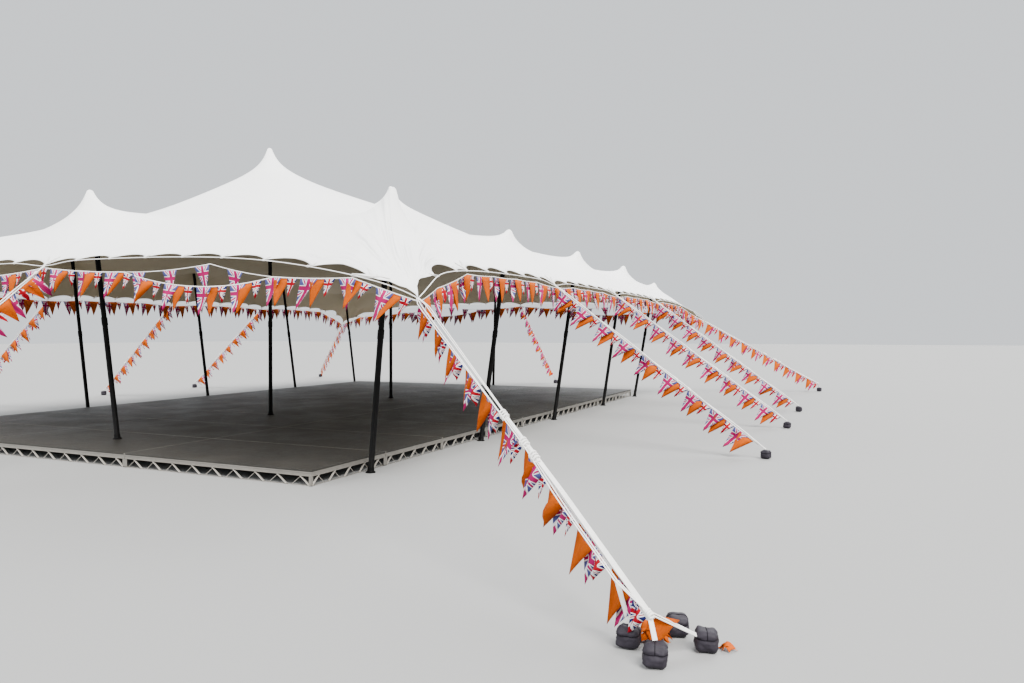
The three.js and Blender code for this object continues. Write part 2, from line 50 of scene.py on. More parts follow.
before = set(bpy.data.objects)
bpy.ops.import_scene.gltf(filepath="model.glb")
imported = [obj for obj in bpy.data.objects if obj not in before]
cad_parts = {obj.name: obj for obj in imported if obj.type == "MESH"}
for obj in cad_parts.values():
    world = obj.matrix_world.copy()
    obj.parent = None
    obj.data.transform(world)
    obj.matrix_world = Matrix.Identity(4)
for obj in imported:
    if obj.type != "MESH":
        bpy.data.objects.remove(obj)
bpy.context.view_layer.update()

UP = Vector((0, 0, 1))
SIDES = ((1, "right"), (-1, "left"))
ENDS = ((-1, "front"), (1, "back"))
POLE_ROWS = range(1, 6)

# The poles that the side guys tie on beside, and the places of the other ties along the edges.
SIDE_GUYS = {"front": 2, "middle": 3, "back": 4}
END_GUY_X = 0.49
FRONT_TIE_X = 4.41
SIDE_TIE_Y = 4.95

# The two seams along the fabric and the one across it, and the flat patch over a pole head.
SEAMS_ACROSS = 2.07
SEAM_ALONG = 0.54
PATCH = 0.042
EXACT = 1e-9

# The finishes of a string of pennants, in the order of its piece's materials.
ORANGE, PALE, SMALL, TAPE = range(4)


# Settings that a user would change

def length(name, default, description, **limits):
    return bpy.props.FloatProperty(
        name=name, default=default, description=description, unit="LENGTH", **limits)


def colour(name, default, description):
    return bpy.props.FloatVectorProperty(
        name=name, default=default, description=description, subtype="COLOR", size=3,
        min=0, max=1)


class CanopySettings(bpy.types.PropertyGroup):
    half_width: length("Half width", 4.78, "Middle of the tent to a long free edge")
    half_length: length("Half length", 6.22, "Middle of the tent to the front or back edge")
    corner_out: length("Corner reach", 0.28, "How far a corner is drawn out sideways")
    corner_back: length("Corner lead", 0.08, "How far a corner is drawn out lengthways")
    corner_height: length("Corner height", 1.69, "Height of the four corner tips")
    front_height: length("Front edge height", 2.165, "Height of the front and back edges")
    side_height: length("Side edge height", 2.06, "Height of the long edges")
    tie_dip: length("Tie dip", 0.045, "How far a guy pulls the edge down")
    thickness: length("Fabric thickness", 0.003, "Thickness of the coated fabric")
    net_gap: length("Net gap", 0.055, "Mean gap of the net that the fabric is formed on")
    scallop: length("Scallop depth", 0.080, "How far the hem draws back between two loops")
    loop_pitch: length("Loop pitch", 0.48, "Distance between two webbing loops")
    white: colour("Top", (0.92, 0.92, 0.91), "Coated top of the fabric")
    # The underside's brown tint is painted light: it stands in for warm light shining through the
    # fabric.
    underside: colour("Underside", (0.46, 0.385, 0.25), "Underside of the fabric")


class RopeSettings(bpy.types.PropertyGroup):
    edge_radius: length("Edge rope radius", 0.0042, "Rope along the free edge")
    guy_radius: length("Guy rope radius", 0.0055, "One strand of a guy")
    webbing_width: length("Webbing width", 0.025, "Flat strap at the corners")
    white: colour("Webbing", (0.84, 0.83, 0.80), "Straps and loops of flat webbing")


class BuntingSettings(bpy.types.PropertyGroup):
    width: length("Pennant width", 0.185, "Top edge of a large pennant")
    drop: length("Pennant drop", 0.27, "Length of a large pennant")
    pitch: length("Group pitch", 0.41, "Distance between two groups of three pennants")
    guy_pitch: length("Group pitch on a guy", 0.33, "The same, on the strings down the guys")
    small: bpy.props.FloatProperty(
        name="Small pennants", default=0.62, min=0.2, max=1, subtype="FACTOR",
        description="Size of the small pennants against the large ones")
    orange: colour("Orange", (0.42, 0.070, 0.0), "Plain pennants")
    field: colour("Pale field", (0.060, 0.062, 0.19), "Ground of the large crossed pennants")
    cross: colour("Pale cross", (0.30, 0.006, 0.085), "Cross of the large crossed pennants")
    navy: colour("Navy", (0.010, 0.013, 0.085), "Ground of the small crossed pennants")
    red: colour("Red", (0.30, 0.001, 0.010), "Cross of the small crossed pennants")


class PoleSettings(bpy.types.PropertyGroup):
    radius: length("Tube radius", 0.03, "Radius of a pole's tube")
    black: colour("Paint", (0.0015, 0.0015, 0.0015), "Matt black paint")


class DeckSettings(bpy.types.PropertyGroup):
    joint: length("Joint", 0.004, "Gap between two boards")
    brace_pitch: length("Brace pitch", 0.26, "Length of one zigzag of the bracing")
    ply: colour("Ply", (0.0150, 0.0138, 0.0118), "Dark coated ply")
    metal: colour("Metal", (0.24, 0.225, 0.200), "Aluminium of the rails and braces")


class AnchorSettings(bpy.types.PropertyGroup):
    cover: colour("Cover", (0.0115, 0.0090, 0.0140), "Padded cloth cover of a ground stake")
    fill: bpy.props.FloatProperty(
        name="Fill", default=0.7, min=0, max=1, subtype="FACTOR",
        description="How tightly the covers are stuffed")


class StageSettings(bpy.types.PropertyGroup):
    floor: colour("Floor", (0.26, 0.26, 0.256), "Plain floor")
    sky: colour("Backdrop", (0.60, 0.625, 0.65), "Plain backdrop")


class TentSettings(bpy.types.PropertyGroup):
    canopy: bpy.props.PointerProperty(type=CanopySettings)
    rope: bpy.props.PointerProperty(type=RopeSettings)
    bunting: bpy.props.PointerProperty(type=BuntingSettings)
    pole: bpy.props.PointerProperty(type=PoleSettings)
    deck: bpy.props.PointerProperty(type=DeckSettings)
    anchor: bpy.props.PointerProperty(type=AnchorSettings)
    stage: bpy.props.PointerProperty(type=StageSettings)


def settings():
    return bpy.context.scene.stretch_tent


# Shader nodes

def node(tree, kind, inputs=None, **values):
    """A shader node. An input is linked where a socket is given for it, and set otherwise."""
    made = tree.nodes.new(kind)
    for key, value in values.items():
        setattr(made, key, value)
    for key, value in (inputs or {}).items():
        if isinstance(value, bpy.types.NodeSocket):
            tree.links.new(value, made.inputs[key])
        else:
            made.inputs[key].default_value = value
    return made


def calc(tree, operation, *values):
    return node(tree, "ShaderNodeMath", dict(enumerate(values)), operation=operation).outputs[0]


def ramp(tree, value, start, end, low=0.0, high=1.0, kind="LINEAR"):
    """low up to where value is start, high from where it is end, and a slope between."""
    return node(tree, "ShaderNodeMapRange", {
        "Value": value, "From Min": start, "From Max": end, "To Min": low, "To Max": high,
    }, interpolation_type=kind).outputs[0]


def band(tree, value, centre, half, soft):
    """1 where value is within half of centre, falling to 0 over soft."""
    away = calc(tree, "ABSOLUTE", calc(tree, "SUBTRACT", value, centre))
    return ramp(tree, away, half, half + soft, 1.0, 0.0)


def cloud(tree, place, size, **inputs):
    """The value of a noise texture, whose other inputs are given by name."""
    given = {"Vector": place, "Scale": size, **inputs}
    return node(tree, "ShaderNodeTexNoise", given).outputs[0]


def object_place(tree):
    return node(tree, "ShaderNodeTexCoord").outputs["Object"]


def uv_place(tree):
    return node(tree, "ShaderNodeUVMap").outputs[0]


def parts_of(tree, place):
    return node(tree, "ShaderNodeSeparateXYZ", {0: place}).outputs


def place_from(tree, x, y):
    return node(tree, "ShaderNodeCombineXYZ", {0: x, 1: y}).outputs[0]


def mix(tree, factor, a, b, blend="MIX"):
    """Two colours mixed. Each is a socket, or three numbers."""
    FIRST, SECOND, RESULT = 6, 7, 2
    a, b = (c if isinstance(c, bpy.types.NodeSocket) else (*c, 1) for c in (a, b))
    return node(tree, "ShaderNodeMix", {0: factor, FIRST: a, SECOND: b}, data_type="RGBA",
                blend_type=blend).outputs[RESULT]


def group(name, inputs, outputs, build):
    """A shader node group, made once. build takes its tree and inputs and gives its outputs."""
    found = bpy.data.node_groups.get(name)
    if found:
        return found
    tree = bpy.data.node_groups.new(name, "ShaderNodeTree")
    for socket, (kind, default) in inputs.items():
        made = tree.interface.new_socket(socket, in_out="INPUT", socket_type=kind)
        made.default_value = default
    for socket, kind in outputs.items():
        tree.interface.new_socket(socket, in_out="OUTPUT", socket_type=kind)
    given = tree.nodes.new("NodeGroupInput")
    put = tree.nodes.new("NodeGroupOutput")
    for socket, value in build(tree, given.outputs).items():
        tree.links.new(value, put.inputs[socket])
    return tree


def use(tree, made_group, inputs):
    return node(tree, "ShaderNodeGroup", inputs, node_tree=made_group).outputs


def wear_group():
    """Cloudy variation of a colour, with finer specks in it, on the object's own coordinates."""
    CLOUDS, SPECKS = (0.35, 0.72), (0.55, 0.75)

    def build(tree, given):
        place = object_place(tree)
        broad = cloud(tree, place, given["Size"], Detail=4.0, Roughness=0.6)
        fine = cloud(tree, place, given["Speck size"], Detail=2.0)
        share = calc(tree, "MULTIPLY", ramp(tree, broad, *CLOUDS), given["Amount"])
        more = calc(tree, "MULTIPLY", ramp(tree, fine, *SPECKS), given["Specks"])
        mask = calc(tree, "MINIMUM", calc(tree, "ADD", share, more), 1.0)
        return {"Color": mix(tree, mask, given["Color"], given["Worn"]), "Mask": mask}
    return group("wear", {
        "Color": ("NodeSocketColor", (0.8, 0.8, 0.8, 1)),
        "Worn": ("NodeSocketColor", (0.5, 0.5, 0.5, 1)),
        "Size": ("NodeSocketFloat", 1.5),
        "Amount": ("NodeSocketFloat", 0.5),
        "Speck size": ("NodeSocketFloat", 60.0),
        "Specks": ("NodeSocketFloat", 0.1),
    }, {"Color": "NodeSocketColor", "Mask": "NodeSocketFloat"}, build)


def weave_group():
    """Height of a plain weave whose threads run along the piece's own UV."""
    def build(tree, given):
        threads = [calc(tree, "SINE", calc(tree, "MULTIPLY", part, given["Threads"]))
                   for part in parts_of(tree, uv_place(tree))[:2]]
        return {"Height": calc(tree, "MULTIPLY", *threads)}
    return group("weave", {"Threads": ("NodeSocketFloat", 2500.0)},
                 {"Height": "NodeSocketFloat"}, build)


def material(name, roughness, build, metallic=0.0, shared=False, **sockets):
    """A Principled material. build gives its colour, and may give its roughness and height. A
    shared one is made the first time it is asked for, and found by its name after that."""
    if shared and name in bpy.data.materials:
        return bpy.data.materials[name]
    made = bpy.data.materials.new(name)
    made.use_nodes = True
    tree = made.node_tree
    shader = tree.nodes["Principled BSDF"]
    shader.inputs["Roughness"].default_value = roughness
    shader.inputs["Metallic"].default_value = metallic
    for socket, value in sockets.items():
        shader.inputs[socket.replace("_", " ")].default_value = value
    looks = build(tree)
    tree.links.new(looks["colour"], shader.inputs["Base Color"])
    if "roughness" in looks:
        tree.links.new(looks["roughness"], shader.inputs["Roughness"])
    if "height" in looks:
        bump = node(tree, "ShaderNodeBump", {
            "Height": looks["height"], "Distance": looks["depth"], "Strength": 1.0})
        tree.links.new(bump.outputs[0], shader.inputs["Normal"])
    return made


def worn(tree, clean, dirty, **inputs):
    """A colour and its wear, as the outputs of the wear group."""
    given = {"Color": (*clean, 1), "Worn": (*dirty, 1)}
    given.update({key.replace("_", " "): value for key, value in inputs.items()})
    return use(tree, wear_group(), given)


def scaled(tone, share):
    return tuple(min(1.0, c * share) for c in tone)


def creases(tree, to_side, to_end):
    """Height of the creases that fan out of a corner, from the distances to its two edges."""
    NEAR, FAR, GONE = 0.25, 0.7, 1.6
    TALL, WIDE = 12.0, 0.22
    AROUND, ALONG, SIZE = 5.5, 0.5, 1.6
    away = node(tree, "ShaderNodeVectorMath", {0: place_from(tree, to_side, to_end)},
                operation="LENGTH").outputs["Value"]
    turn = calc(tree, "ARCTAN2", to_end, to_side)
    ray = place_from(tree, calc(tree, "MULTIPLY", turn, AROUND),
                     calc(tree, "MULTIPLY", away, ALONG))
    streaks = cloud(tree, ray, SIZE, Detail=1.0, Distortion=0.3)
    ridge = calc(tree, "ABSOLUTE", calc(tree, "SUBTRACT", streaks, 0.5))
    crease = ramp(tree, ridge, 0.0, WIDE, 1.0, 0.0, kind="SMOOTHSTEP")
    grown = ramp(tree, away, NEAR, FAR)
    faded = ramp(tree, away, FAR, GONE, TALL, 0.0)
    return calc(tree, "MULTIPLY", crease, calc(tree, "MULTIPLY", grown, faded))


def seam_mask(tree, across, along, half):
    """The sewn seams: two along the tent and one across it."""
    SOFT = 0.004
    return calc(tree, "MAXIMUM", band(tree, across, SEAMS_ACROSS, half, SOFT),
                band(tree, along, SEAM_ALONG, half, SOFT))


def canopy_finish():
    c = settings().canopy

    def build(tree):
        """Seams, a stitched hem, and creases that run out of the corners, on a UV map that is the
        flat cut in metres."""
        SEAM, HEM, HEM_SOFT = 0.010, 0.045, 0.004
        STITCHES, THREAD, THREAD_SOFT = (0.040, 0.022), 0.0008, 0.0012
        SOILED, SOIL = 0.5, 0.16
        GRAIN, GRAIN_TALL, THREAD_DEEP = 160.0, 0.12, 0.6
        looks = worn(tree, c.white, scaled(c.white, 0.93), Size=0.5, Amount=0.6, Specks=0.0)
        cut = uv_place(tree)
        x, y, _ = parts_of(tree, cut)
        reach_x = calc(tree, "ABSOLUTE", x)
        to_side = calc(tree, "SUBTRACT", c.half_width, reach_x)
        to_end = calc(tree, "SUBTRACT", c.half_length, calc(tree, "ABSOLUTE", y))
        from_edge = calc(tree, "MINIMUM", to_side, to_end)
        seam = seam_mask(tree, reach_x, y, SEAM)
        hem = band(tree, from_edge, 0.0, HEM, HEM_SOFT)
        stitch = calc(tree, "MAXIMUM", *(
            band(tree, from_edge, at, THREAD, THREAD_SOFT) for at in STITCHES))
        soil = ramp(tree, from_edge, 0.0, SOILED, SOIL, 0.0)
        tone = mix(tree, soil, looks["Color"], scaled(c.white, 0.72))
        tone = mix(tree, calc(tree, "MULTIPLY", seam, 0.10), tone, scaled(c.white, 0.7))
        grain = calc(tree, "MULTIPLY", cloud(tree, cut, GRAIN, Detail=2.0), GRAIN_TALL)
        height = calc(tree, "ADD", calc(tree, "MAXIMUM", seam, hem), grain)
        height = calc(tree, "SUBTRACT", height, calc(tree, "MULTIPLY", stitch, THREAD_DEEP))
        height = calc(tree, "ADD", height, creases(tree, to_side, to_end))
        return {"colour": tone, "height": height, "depth": 0.0015}
    return material("canopy_white", 0.62, build, Sheen_Weight=0.15, Sheen_Roughness=0.5)


def underside_finish():
    c = settings().canopy

    def build(tree):
        SEAM = 0.012
        # The underside colour's brown tint is painted light, standing in for light shining through
        # the fabric.
        looks = worn(tree, c.underside, scaled(c.underside, 0.82), Size=0.7, Amount=0.7,
                     Specks=0.0)
        x, y, _ = parts_of(tree, uv_place(tree))
        seam = seam_mask(tree, calc(tree, "ABSOLUTE", x), y, SEAM)
        tone = mix(tree, calc(tree, "MULTIPLY", seam, 0.35), looks["Color"],
                   scaled(c.underside, 0.7))
        return {"colour": tone, "height": seam, "depth": 0.0015}
    return material("canopy_underside", 0.75, build)


def rope_finish():
    """The plain white that the frame's own edge rope has."""
    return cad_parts["edge_rope"].active_material


def webbing_finish():
    r = settings().rope

    def build(tree):
        RIBS = 1400.0
        looks = worn(tree, scaled(r.white, 1.08), scaled(r.white, 0.75), Size=6.0, Amount=0.45,
                     Specks=0.15)
        along = parts_of(tree, uv_place(tree))[1]
        rib = calc(tree, "SINE", calc(tree, "MULTIPLY", along, RIBS))
        return {"colour": looks["Color"], "height": rib, "depth": 0.0006}
    return material("webbing_white", 0.75, build, shared=True)


def paint_finish():
    p = settings().pole

    def build(tree):
        """Scuffs gather near the ground, where the poles are kicked and dragged."""
        DUST, SCUFF = (0.010, 0.0095, 0.009), (0.035, 0.032, 0.03)
        CLEAN_ABOVE, MARKS = 0.7, (0.56, 0.66)
        looks = worn(tree, p.black, DUST, Size=3.0, Amount=0.18, Specks=0.2)
        place = object_place(tree)
        low = ramp(tree, parts_of(tree, place)[2], 0.05, CLEAN_ABOVE, 1.0, 0.0)
        scuff = cloud(tree, place, 38.0, Detail=6.0, Roughness=0.7)
        mark = calc(tree, "MULTIPLY", ramp(tree, scuff, *MARKS), 0.6)
        tone = mix(tree, calc(tree, "MULTIPLY", mark, low), looks["Color"], SCUFF)
        rough = ramp(tree, looks["Mask"], 0.0, 1.0, 0.55, 0.75)
        return {"colour": tone, "roughness": rough, "height": scuff, "depth": 0.0003}
    return material("pole_paint", 0.6, build, Specular_IOR_Level=0.08)


def plain_cloth(name, tone, roughness=0.85, threads=2500.0, dirt=0.8, gloss=0.1):
    """A woven cloth of one colour, whose soiled parts have dirt times that colour."""
    def build(tree):
        looks = worn(tree, tone, scaled(tone, dirt), Size=14.0, Amount=0.6, Specks=0.1)
        height = use(tree, weave_group(), {"Threads": threads})["Height"]
        return {"colour": looks["Color"], "height": height, "depth": 0.0004}
    return material(name, roughness, build, Specular_IOR_Level=gloss)


def crossed_cloth(name, ground, cross, slanting, upright):
    """A pennant with two crosses: an upright one edged in white, over a slanting one. Each is
    given as the half widths of its white edging and of its coloured bars."""
    IVORY, SHADE = (0.78, 0.76, 0.77), (0.82, 0.82, 0.82)
    TALL, MIDDLE, SLANT, SOFT = 1.45, 0.42, 0.75, 0.006

    def build(tree):
        u, v, _ = parts_of(tree, uv_place(tree))
        across = calc(tree, "MULTIPLY", calc(tree, "SUBTRACT", u, 0.5),
                      calc(tree, "SUBTRACT", 1.0, v))
        down = calc(tree, "SUBTRACT", calc(tree, "MULTIPLY", v, TALL), MIDDLE)
        slants = [calc(tree, operation, across, calc(tree, "MULTIPLY", down, SLANT))
                  for operation in ("ADD", "SUBTRACT")]
        tone = ground
        for values, halves in ((slants, slanting), ((across, down), upright)):
            for half, bar_tone in zip(halves, (IVORY, cross)):
                bars = [band(tree, value, 0.0, half, SOFT) for value in values]
                tone = mix(tree, calc(tree, "MAXIMUM", *bars), tone, bar_tone)
        looks = worn(tree, (1, 1, 1), SHADE, Size=16.0, Amount=0.7, Specks=0.1)
        return {"colour": mix(tree, 1.0, tone, looks["Color"], blend="MULTIPLY")}
    return material(name, 0.85, build, Specular_IOR_Level=0.1)


def ply_finish():
    d = settings().deck

    def build(tree):
        """A dusty phenolic face with a fine mesh print and long drag marks."""
        STRETCH, TURN = (1.2, 14.0, 1.0), (0, 0, 0.5)
        MARKS, PRINT = (0.60, 0.74), 160.0
        looks = worn(tree, d.ply, scaled(d.ply, 2.8), Size=1.8, Amount=0.55, Speck_size=22.0,
                     Specks=0.35)
        place = object_place(tree)
        stretched = node(tree, "ShaderNodeMapping", {
            "Vector": place, "Scale": STRETCH, "Rotation": TURN}).outputs[0]
        drag = cloud(tree, stretched, 1.6, Detail=6.0, Roughness=0.65)
        mark = calc(tree, "MULTIPLY", ramp(tree, drag, *MARKS), 0.5)
        tone = mix(tree, mark, looks["Color"], scaled(d.ply, 4.0))
        mesh = node(tree, "ShaderNodeTexVoronoi", {"Vector": place, "Scale": PRINT})
        return {"colour": tone, "roughness": ramp(tree, looks["Mask"], 0.0, 1.0, 0.5, 0.8),
                "height": mesh.outputs["Distance"], "depth": 0.0012}
    return material("deck_ply", 0.6, build, Specular_IOR_Level=0.25)


def metal_finish(name, tone):
    """Dull aluminium with an upright grain."""
    def build(tree):
        STRETCH = (3.0, 3.0, 90.0)
        looks = worn(tree, tone, scaled(tone, 0.62), Size=5.0, Amount=0.55,
                     Speck_size=90.0, Specks=0.3)
        stretched = node(tree, "ShaderNodeMapping", {
            "Vector": object_place(tree), "Scale": STRETCH}).outputs[0]
        return {"colour": looks["Color"],
                "roughness": ramp(tree, looks["Mask"], 0.0, 1.0, 0.42, 0.7),
                "height": cloud(tree, stretched, 6.0), "depth": 0.0005}
    return material(name, 0.5, build, metallic=0.55, shared=True)


def rail_finish():
    return metal_finish("deck_aluminium", settings().deck.metal)


def brace_finish():
    """The bars of the bracing are coloured 2.2 times brighter than the rails."""
    return metal_finish("deck_brace", scaled(settings().deck.metal, 2.2))


# Mesh helpers

def placed(name, data):
    """A mesh, a lamp or a camera put in the scene."""
    made = bpy.data.objects.new(name, data)
    bpy.context.scene.collection.objects.link(made)
    return made


def mesh_from(bm, name, *materials):
    mesh = bpy.data.meshes.new(name)
    bm.to_mesh(mesh)
    bm.free()
    for each in materials:
        mesh.materials.append(each)
    return mesh


def piece_from(bm, name, *materials):
    """A smooth piece of the object made from a bmesh, riding on the tent's one body."""
    mesh = mesh_from(bm, name, *materials)
    mesh.shade_smooth()
    piece = placed(name, mesh)
    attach(piece, "root")
    return piece


def sharpen(piece, degrees=35):
    piece.data.set_sharp_from_angle(angle=math.radians(degrees))


def places_on(path, up=None, closed=False):
    """A matrix at each point of a path: X across it, Y over it and Z along it. up is one direction
    for the whole path, or a list with one for each point."""
    made = []
    across = None
    count = len(path)
    for k, here in enumerate(path):
        before = path[k - 1] if closed or k > 0 else here
        after = path[(k + 1) % count] if closed or k < count - 1 else here
        along = (after - before).normalized()
        if up is not None:
            across = up[k].cross(along) if isinstance(up, list) else up.cross(along)
        elif across is None:
            across = along.orthogonal()
        across = (across - along * across.dot(along)).normalized()
        over = along.cross(across)
        matrix = Matrix((across, over, along)).transposed().to_4x4()
        matrix.translation = here
        made.append(matrix)
    return made


def swept(bm, path, width, height, sides, up=None, closed=False, index=0):
    """A rope or strap along a path, capped or closed on itself, with UV round and along it. A
    strap has four sides, and its width and height are taken over them."""
    uv = bm.loops.layers.uv.verify()
    turn = bm.verts.layers.int.get("turn") or bm.verts.layers.int.new("turn")
    run = bm.verts.layers.float.get("run") or bm.verts.layers.float.new("run")
    places = places_on(path, up, closed)
    spread = 1 / math.cos(math.pi / sides) if sides == 4 else 1
    section = (Matrix.Diagonal((width / 2 * spread, height / 2 * spread, 1, 1))
               @ Matrix.Rotation(math.pi / sides, 4, "Z"))
    ring = bmesh.ops.create_circle(
        bm, segments=sides, radius=1, matrix=places[0] @ section)["verts"]
    for k, vert in enumerate(ring):
        vert[turn] = k
        vert[run] = 0.0
    first = edges = list({e for v in ring for e in v.link_edges})
    faces = []
    gone = 0.0
    for before, after in zip(places, places[1:]):
        gone += (after.translation - before.translation).length
        grown = bmesh.ops.extrude_edge_only(bm, edges=edges)["geom"]
        verts = [g for g in grown if isinstance(g, bmesh.types.BMVert)]
        bmesh.ops.transform(bm, matrix=after @ before.inverted(), verts=verts)
        for vert in verts:
            vert[run] = gone
        new = set(verts)
        edges = [g for g in grown if isinstance(g, bmesh.types.BMEdge)
                 and g.verts[0] in new and g.verts[1] in new]
        faces += [g for g in grown if isinstance(g, bmesh.types.BMFace)]
    if closed:
        faces += bmesh.ops.bridge_loops(bm, edges=first + edges)["faces"]
    else:
        for end in (first, edges):
            faces += bmesh.ops.contextual_create(bm, geom=end)["faces"]
    for face in faces:
        face.material_index = index
        turns = [loop.vert[turn] for loop in face.loops]
        wraps = 0 in turns and sides - 1 in turns and sides > 2
        for loop, k in zip(face.loops, turns):
            loop[uv].uv = ((sides if wraps and k == 0 else k) / sides, loop.vert[run])


def close(bm):
    """Joins the corners that meet, and turns every face outwards."""
    MEET = 0.00005
    bmesh.ops.remove_doubles(bm, verts=bm.verts, dist=MEET)
    bmesh.ops.recalc_face_normals(bm, faces=bm.faces)


def box_between(bm, corner, opposite, bevel=0.0):
    """A box between two opposite corners, whose edges may be bevelled."""
    low, high = (Vector(map(pick, corner, opposite)) for pick in (min, max))
    place = Matrix.Translation((low + high) / 2) @ Matrix.Diagonal((*(high - low), 1))
    made = bmesh.ops.create_cube(bm, size=1, matrix=place)["verts"]
    if bevel:
        edges = list({e for v in made for e in v.link_edges})
        bmesh.ops.bevel(bm, geom=edges, offset=bevel, segments=1, profile=0.5,
                        affect="EDGES", material=-1)


def ends(name):
    """The middle of a CAD node's lowest face, and of its highest one."""
    LEVEL = 0.0005
    points = np.array([v.co[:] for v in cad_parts[name].data.vertices])
    found = []
    for level in (points[:, 2].min(), points[:, 2].max()):
        flat = points[np.abs(points[:, 2] - level) < LEVEL]
        found.append(Vector((flat.min(0) + flat.max(0)) / 2))
    return found


def centre_of(name):
    """The middle of a CAD node's box."""
    low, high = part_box(name)
    return (Vector(low) + Vector(high)) / 2


def run_of(line):
    """How far along a line each of its points lies."""
    return np.concatenate(([0], np.cumsum(np.linalg.norm(np.diff(line, axis=0), axis=1))))


def on_line(line, run, at):
    """The point of a line at a distance along it, or the points at several distances."""
    return np.stack([np.interp(at, run, line[:, m]) for m in range(3)], axis=-1)


def facing(axis, sign):
    """The direction out over an edge: axis 0 for a long side, 1 for the front or the back."""
    return Vector((0, sign, 0)) if axis else Vector((sign, 0, 0))


# The fabric's shape: a net drawn aside where a pole head or corner stands off it, with the
# heights of a membrane under an uneven pull.

def pole_heads():
    """Each pole head: its place in the net, its true place, and the fabric's height there."""
    ABOVE_HEAD = 0.0123

    def head(name):
        top = ends(name)[1]
        return (top.x, top.y), top.z + ABOVE_HEAD
    heads = []
    for _, hand in SIDES:
        for row in POLE_ROWS:
            true, height = head(f"side_pole_{hand}_{row}")
            heads.append((true, true, height))
    rows = [at[1] for at, _, _ in heads[:len(POLE_ROWS)]]
    for name, row in (("front_pole", rows[0]), ("back_pole", rows[-1]),
                      ("king_pole_front", rows[1]), ("king_pole_back", None)):
        true, height = head(name)
        heads.append(((0.0, true[1] if row is None else row), true, height))
    return heads


def net_lines(stops, half, gap):
    """Net lines over the pole heads, and more between them, somewhat closer near the heads."""
    EASE = 0.35
    offsets = (-PATCH, -PATCH / 2, 0, PATCH / 2, PATCH)
    lines = [-half, *(s + o for s in stops for o in offsets), half]
    filled = [lines[0]]
    for before, after in zip(lines, lines[1:]):
        count = max(1, round((after - before) / gap))
        for k in range(1, count + 1):
            t = k / count
            eased = t - EASE * math.sin(math.tau * t) / math.tau
            filled.append(before + (after - before) * eased)
    return np.array(filled)


def drawn_aside(a, b, heads, c):
    """The true plan of the net points a, b."""
    HEAD_REACH, CORNER_REACH = 0.75, 0.6
    FLAT = 2 * PATCH
    x, y = a.copy(), b.copy()
    for at, true, _ in heads:
        away = np.maximum(0, np.hypot(a - at[0], b - at[1]) - FLAT) / HEAD_REACH
        inside = (c.half_length - abs(b)) / (c.half_length - abs(at[1]) - FLAT)
        share = np.exp(-away ** 2) * np.minimum(1, inside)
        x += (true[0] - at[0]) * share
        y += (true[1] - at[1]) * share
    for sx, _ in SIDES:
        for sy, _ in ENDS:
            away = np.hypot(a - sx * c.half_width, b - sy * c.half_length) / CORNER_REACH
            share = np.exp(-away ** 2)
            x += sx * c.corner_out * share
            y += sy * c.corner_back * share
    return x, y


def edge_heights(a, b, ties, c):
    """Height of the free edge at the net points a, b of the border."""
    FRONT_SETTLE, SIDE_SETTLE = 0.9, 0.6
    DIP_REACH = 0.3
    on_side = abs(a) >= c.half_width - EXACT
    height = np.where(on_side, c.side_height, c.front_height)
    settle = np.where(on_side, SIDE_SETTLE, FRONT_SETTLE)
    from_corner = np.where(on_side, c.half_length - abs(b), c.half_width - abs(a))
    z = c.corner_height + (height - c.corner_height) * (1 - np.exp(-from_corner / settle))
    for ta, tb in ties:
        z = z - c.tie_dip * np.exp(-(np.hypot(a - ta, b - tb) / DIP_REACH) ** 2)
    return z


def pull(x, y, a, b, heads, lengthways):
    """The pull in the fabric: even, growing towards the two tall poles, and stronger from head
    to head along the sides and ends, which keeps a low ridge there."""
    TIMES, CORE, FADE = 1.7, 0.24, 0.69
    SIDE, SIDE_REACH, END, END_REACH = 5.4, 2.0, 3.0, 2.4
    kings = heads[-2:]
    near = np.min([np.hypot(x - true[0], y - true[1]) for _, true, _ in kings], axis=0)
    head_x, head_y = heads[0][0][0], heads[len(POLE_ROWS) - 1][0][1]
    if lengthways:
        ridge = SIDE * np.exp(-((abs(a) - head_x) / SIDE_REACH) ** 2) * (abs(b) < head_y)
    else:
        ridge = END * np.exp(-((abs(b) - head_y) / END_REACH) ** 2) * (abs(a) < head_x)
    return (1 + ridge) * np.maximum(1, TIMES / (near + CORE) ** FADE)


def middles(grid, axis):
    """The mean of each two neighbours along an axis."""
    before = np.take(grid, range(grid.shape[axis] - 1), axis)
    after = np.take(grid, range(1, grid.shape[axis]), axis)
    return (before + after) / 2


def half_reach(spans, axis):
    """Half the reach from each net point to its two neighbours along an axis."""
    pad = [(0, 0), (0, 0)]
    pad[axis] = (1, 1)
    return middles(np.pad(spans, pad), axis)


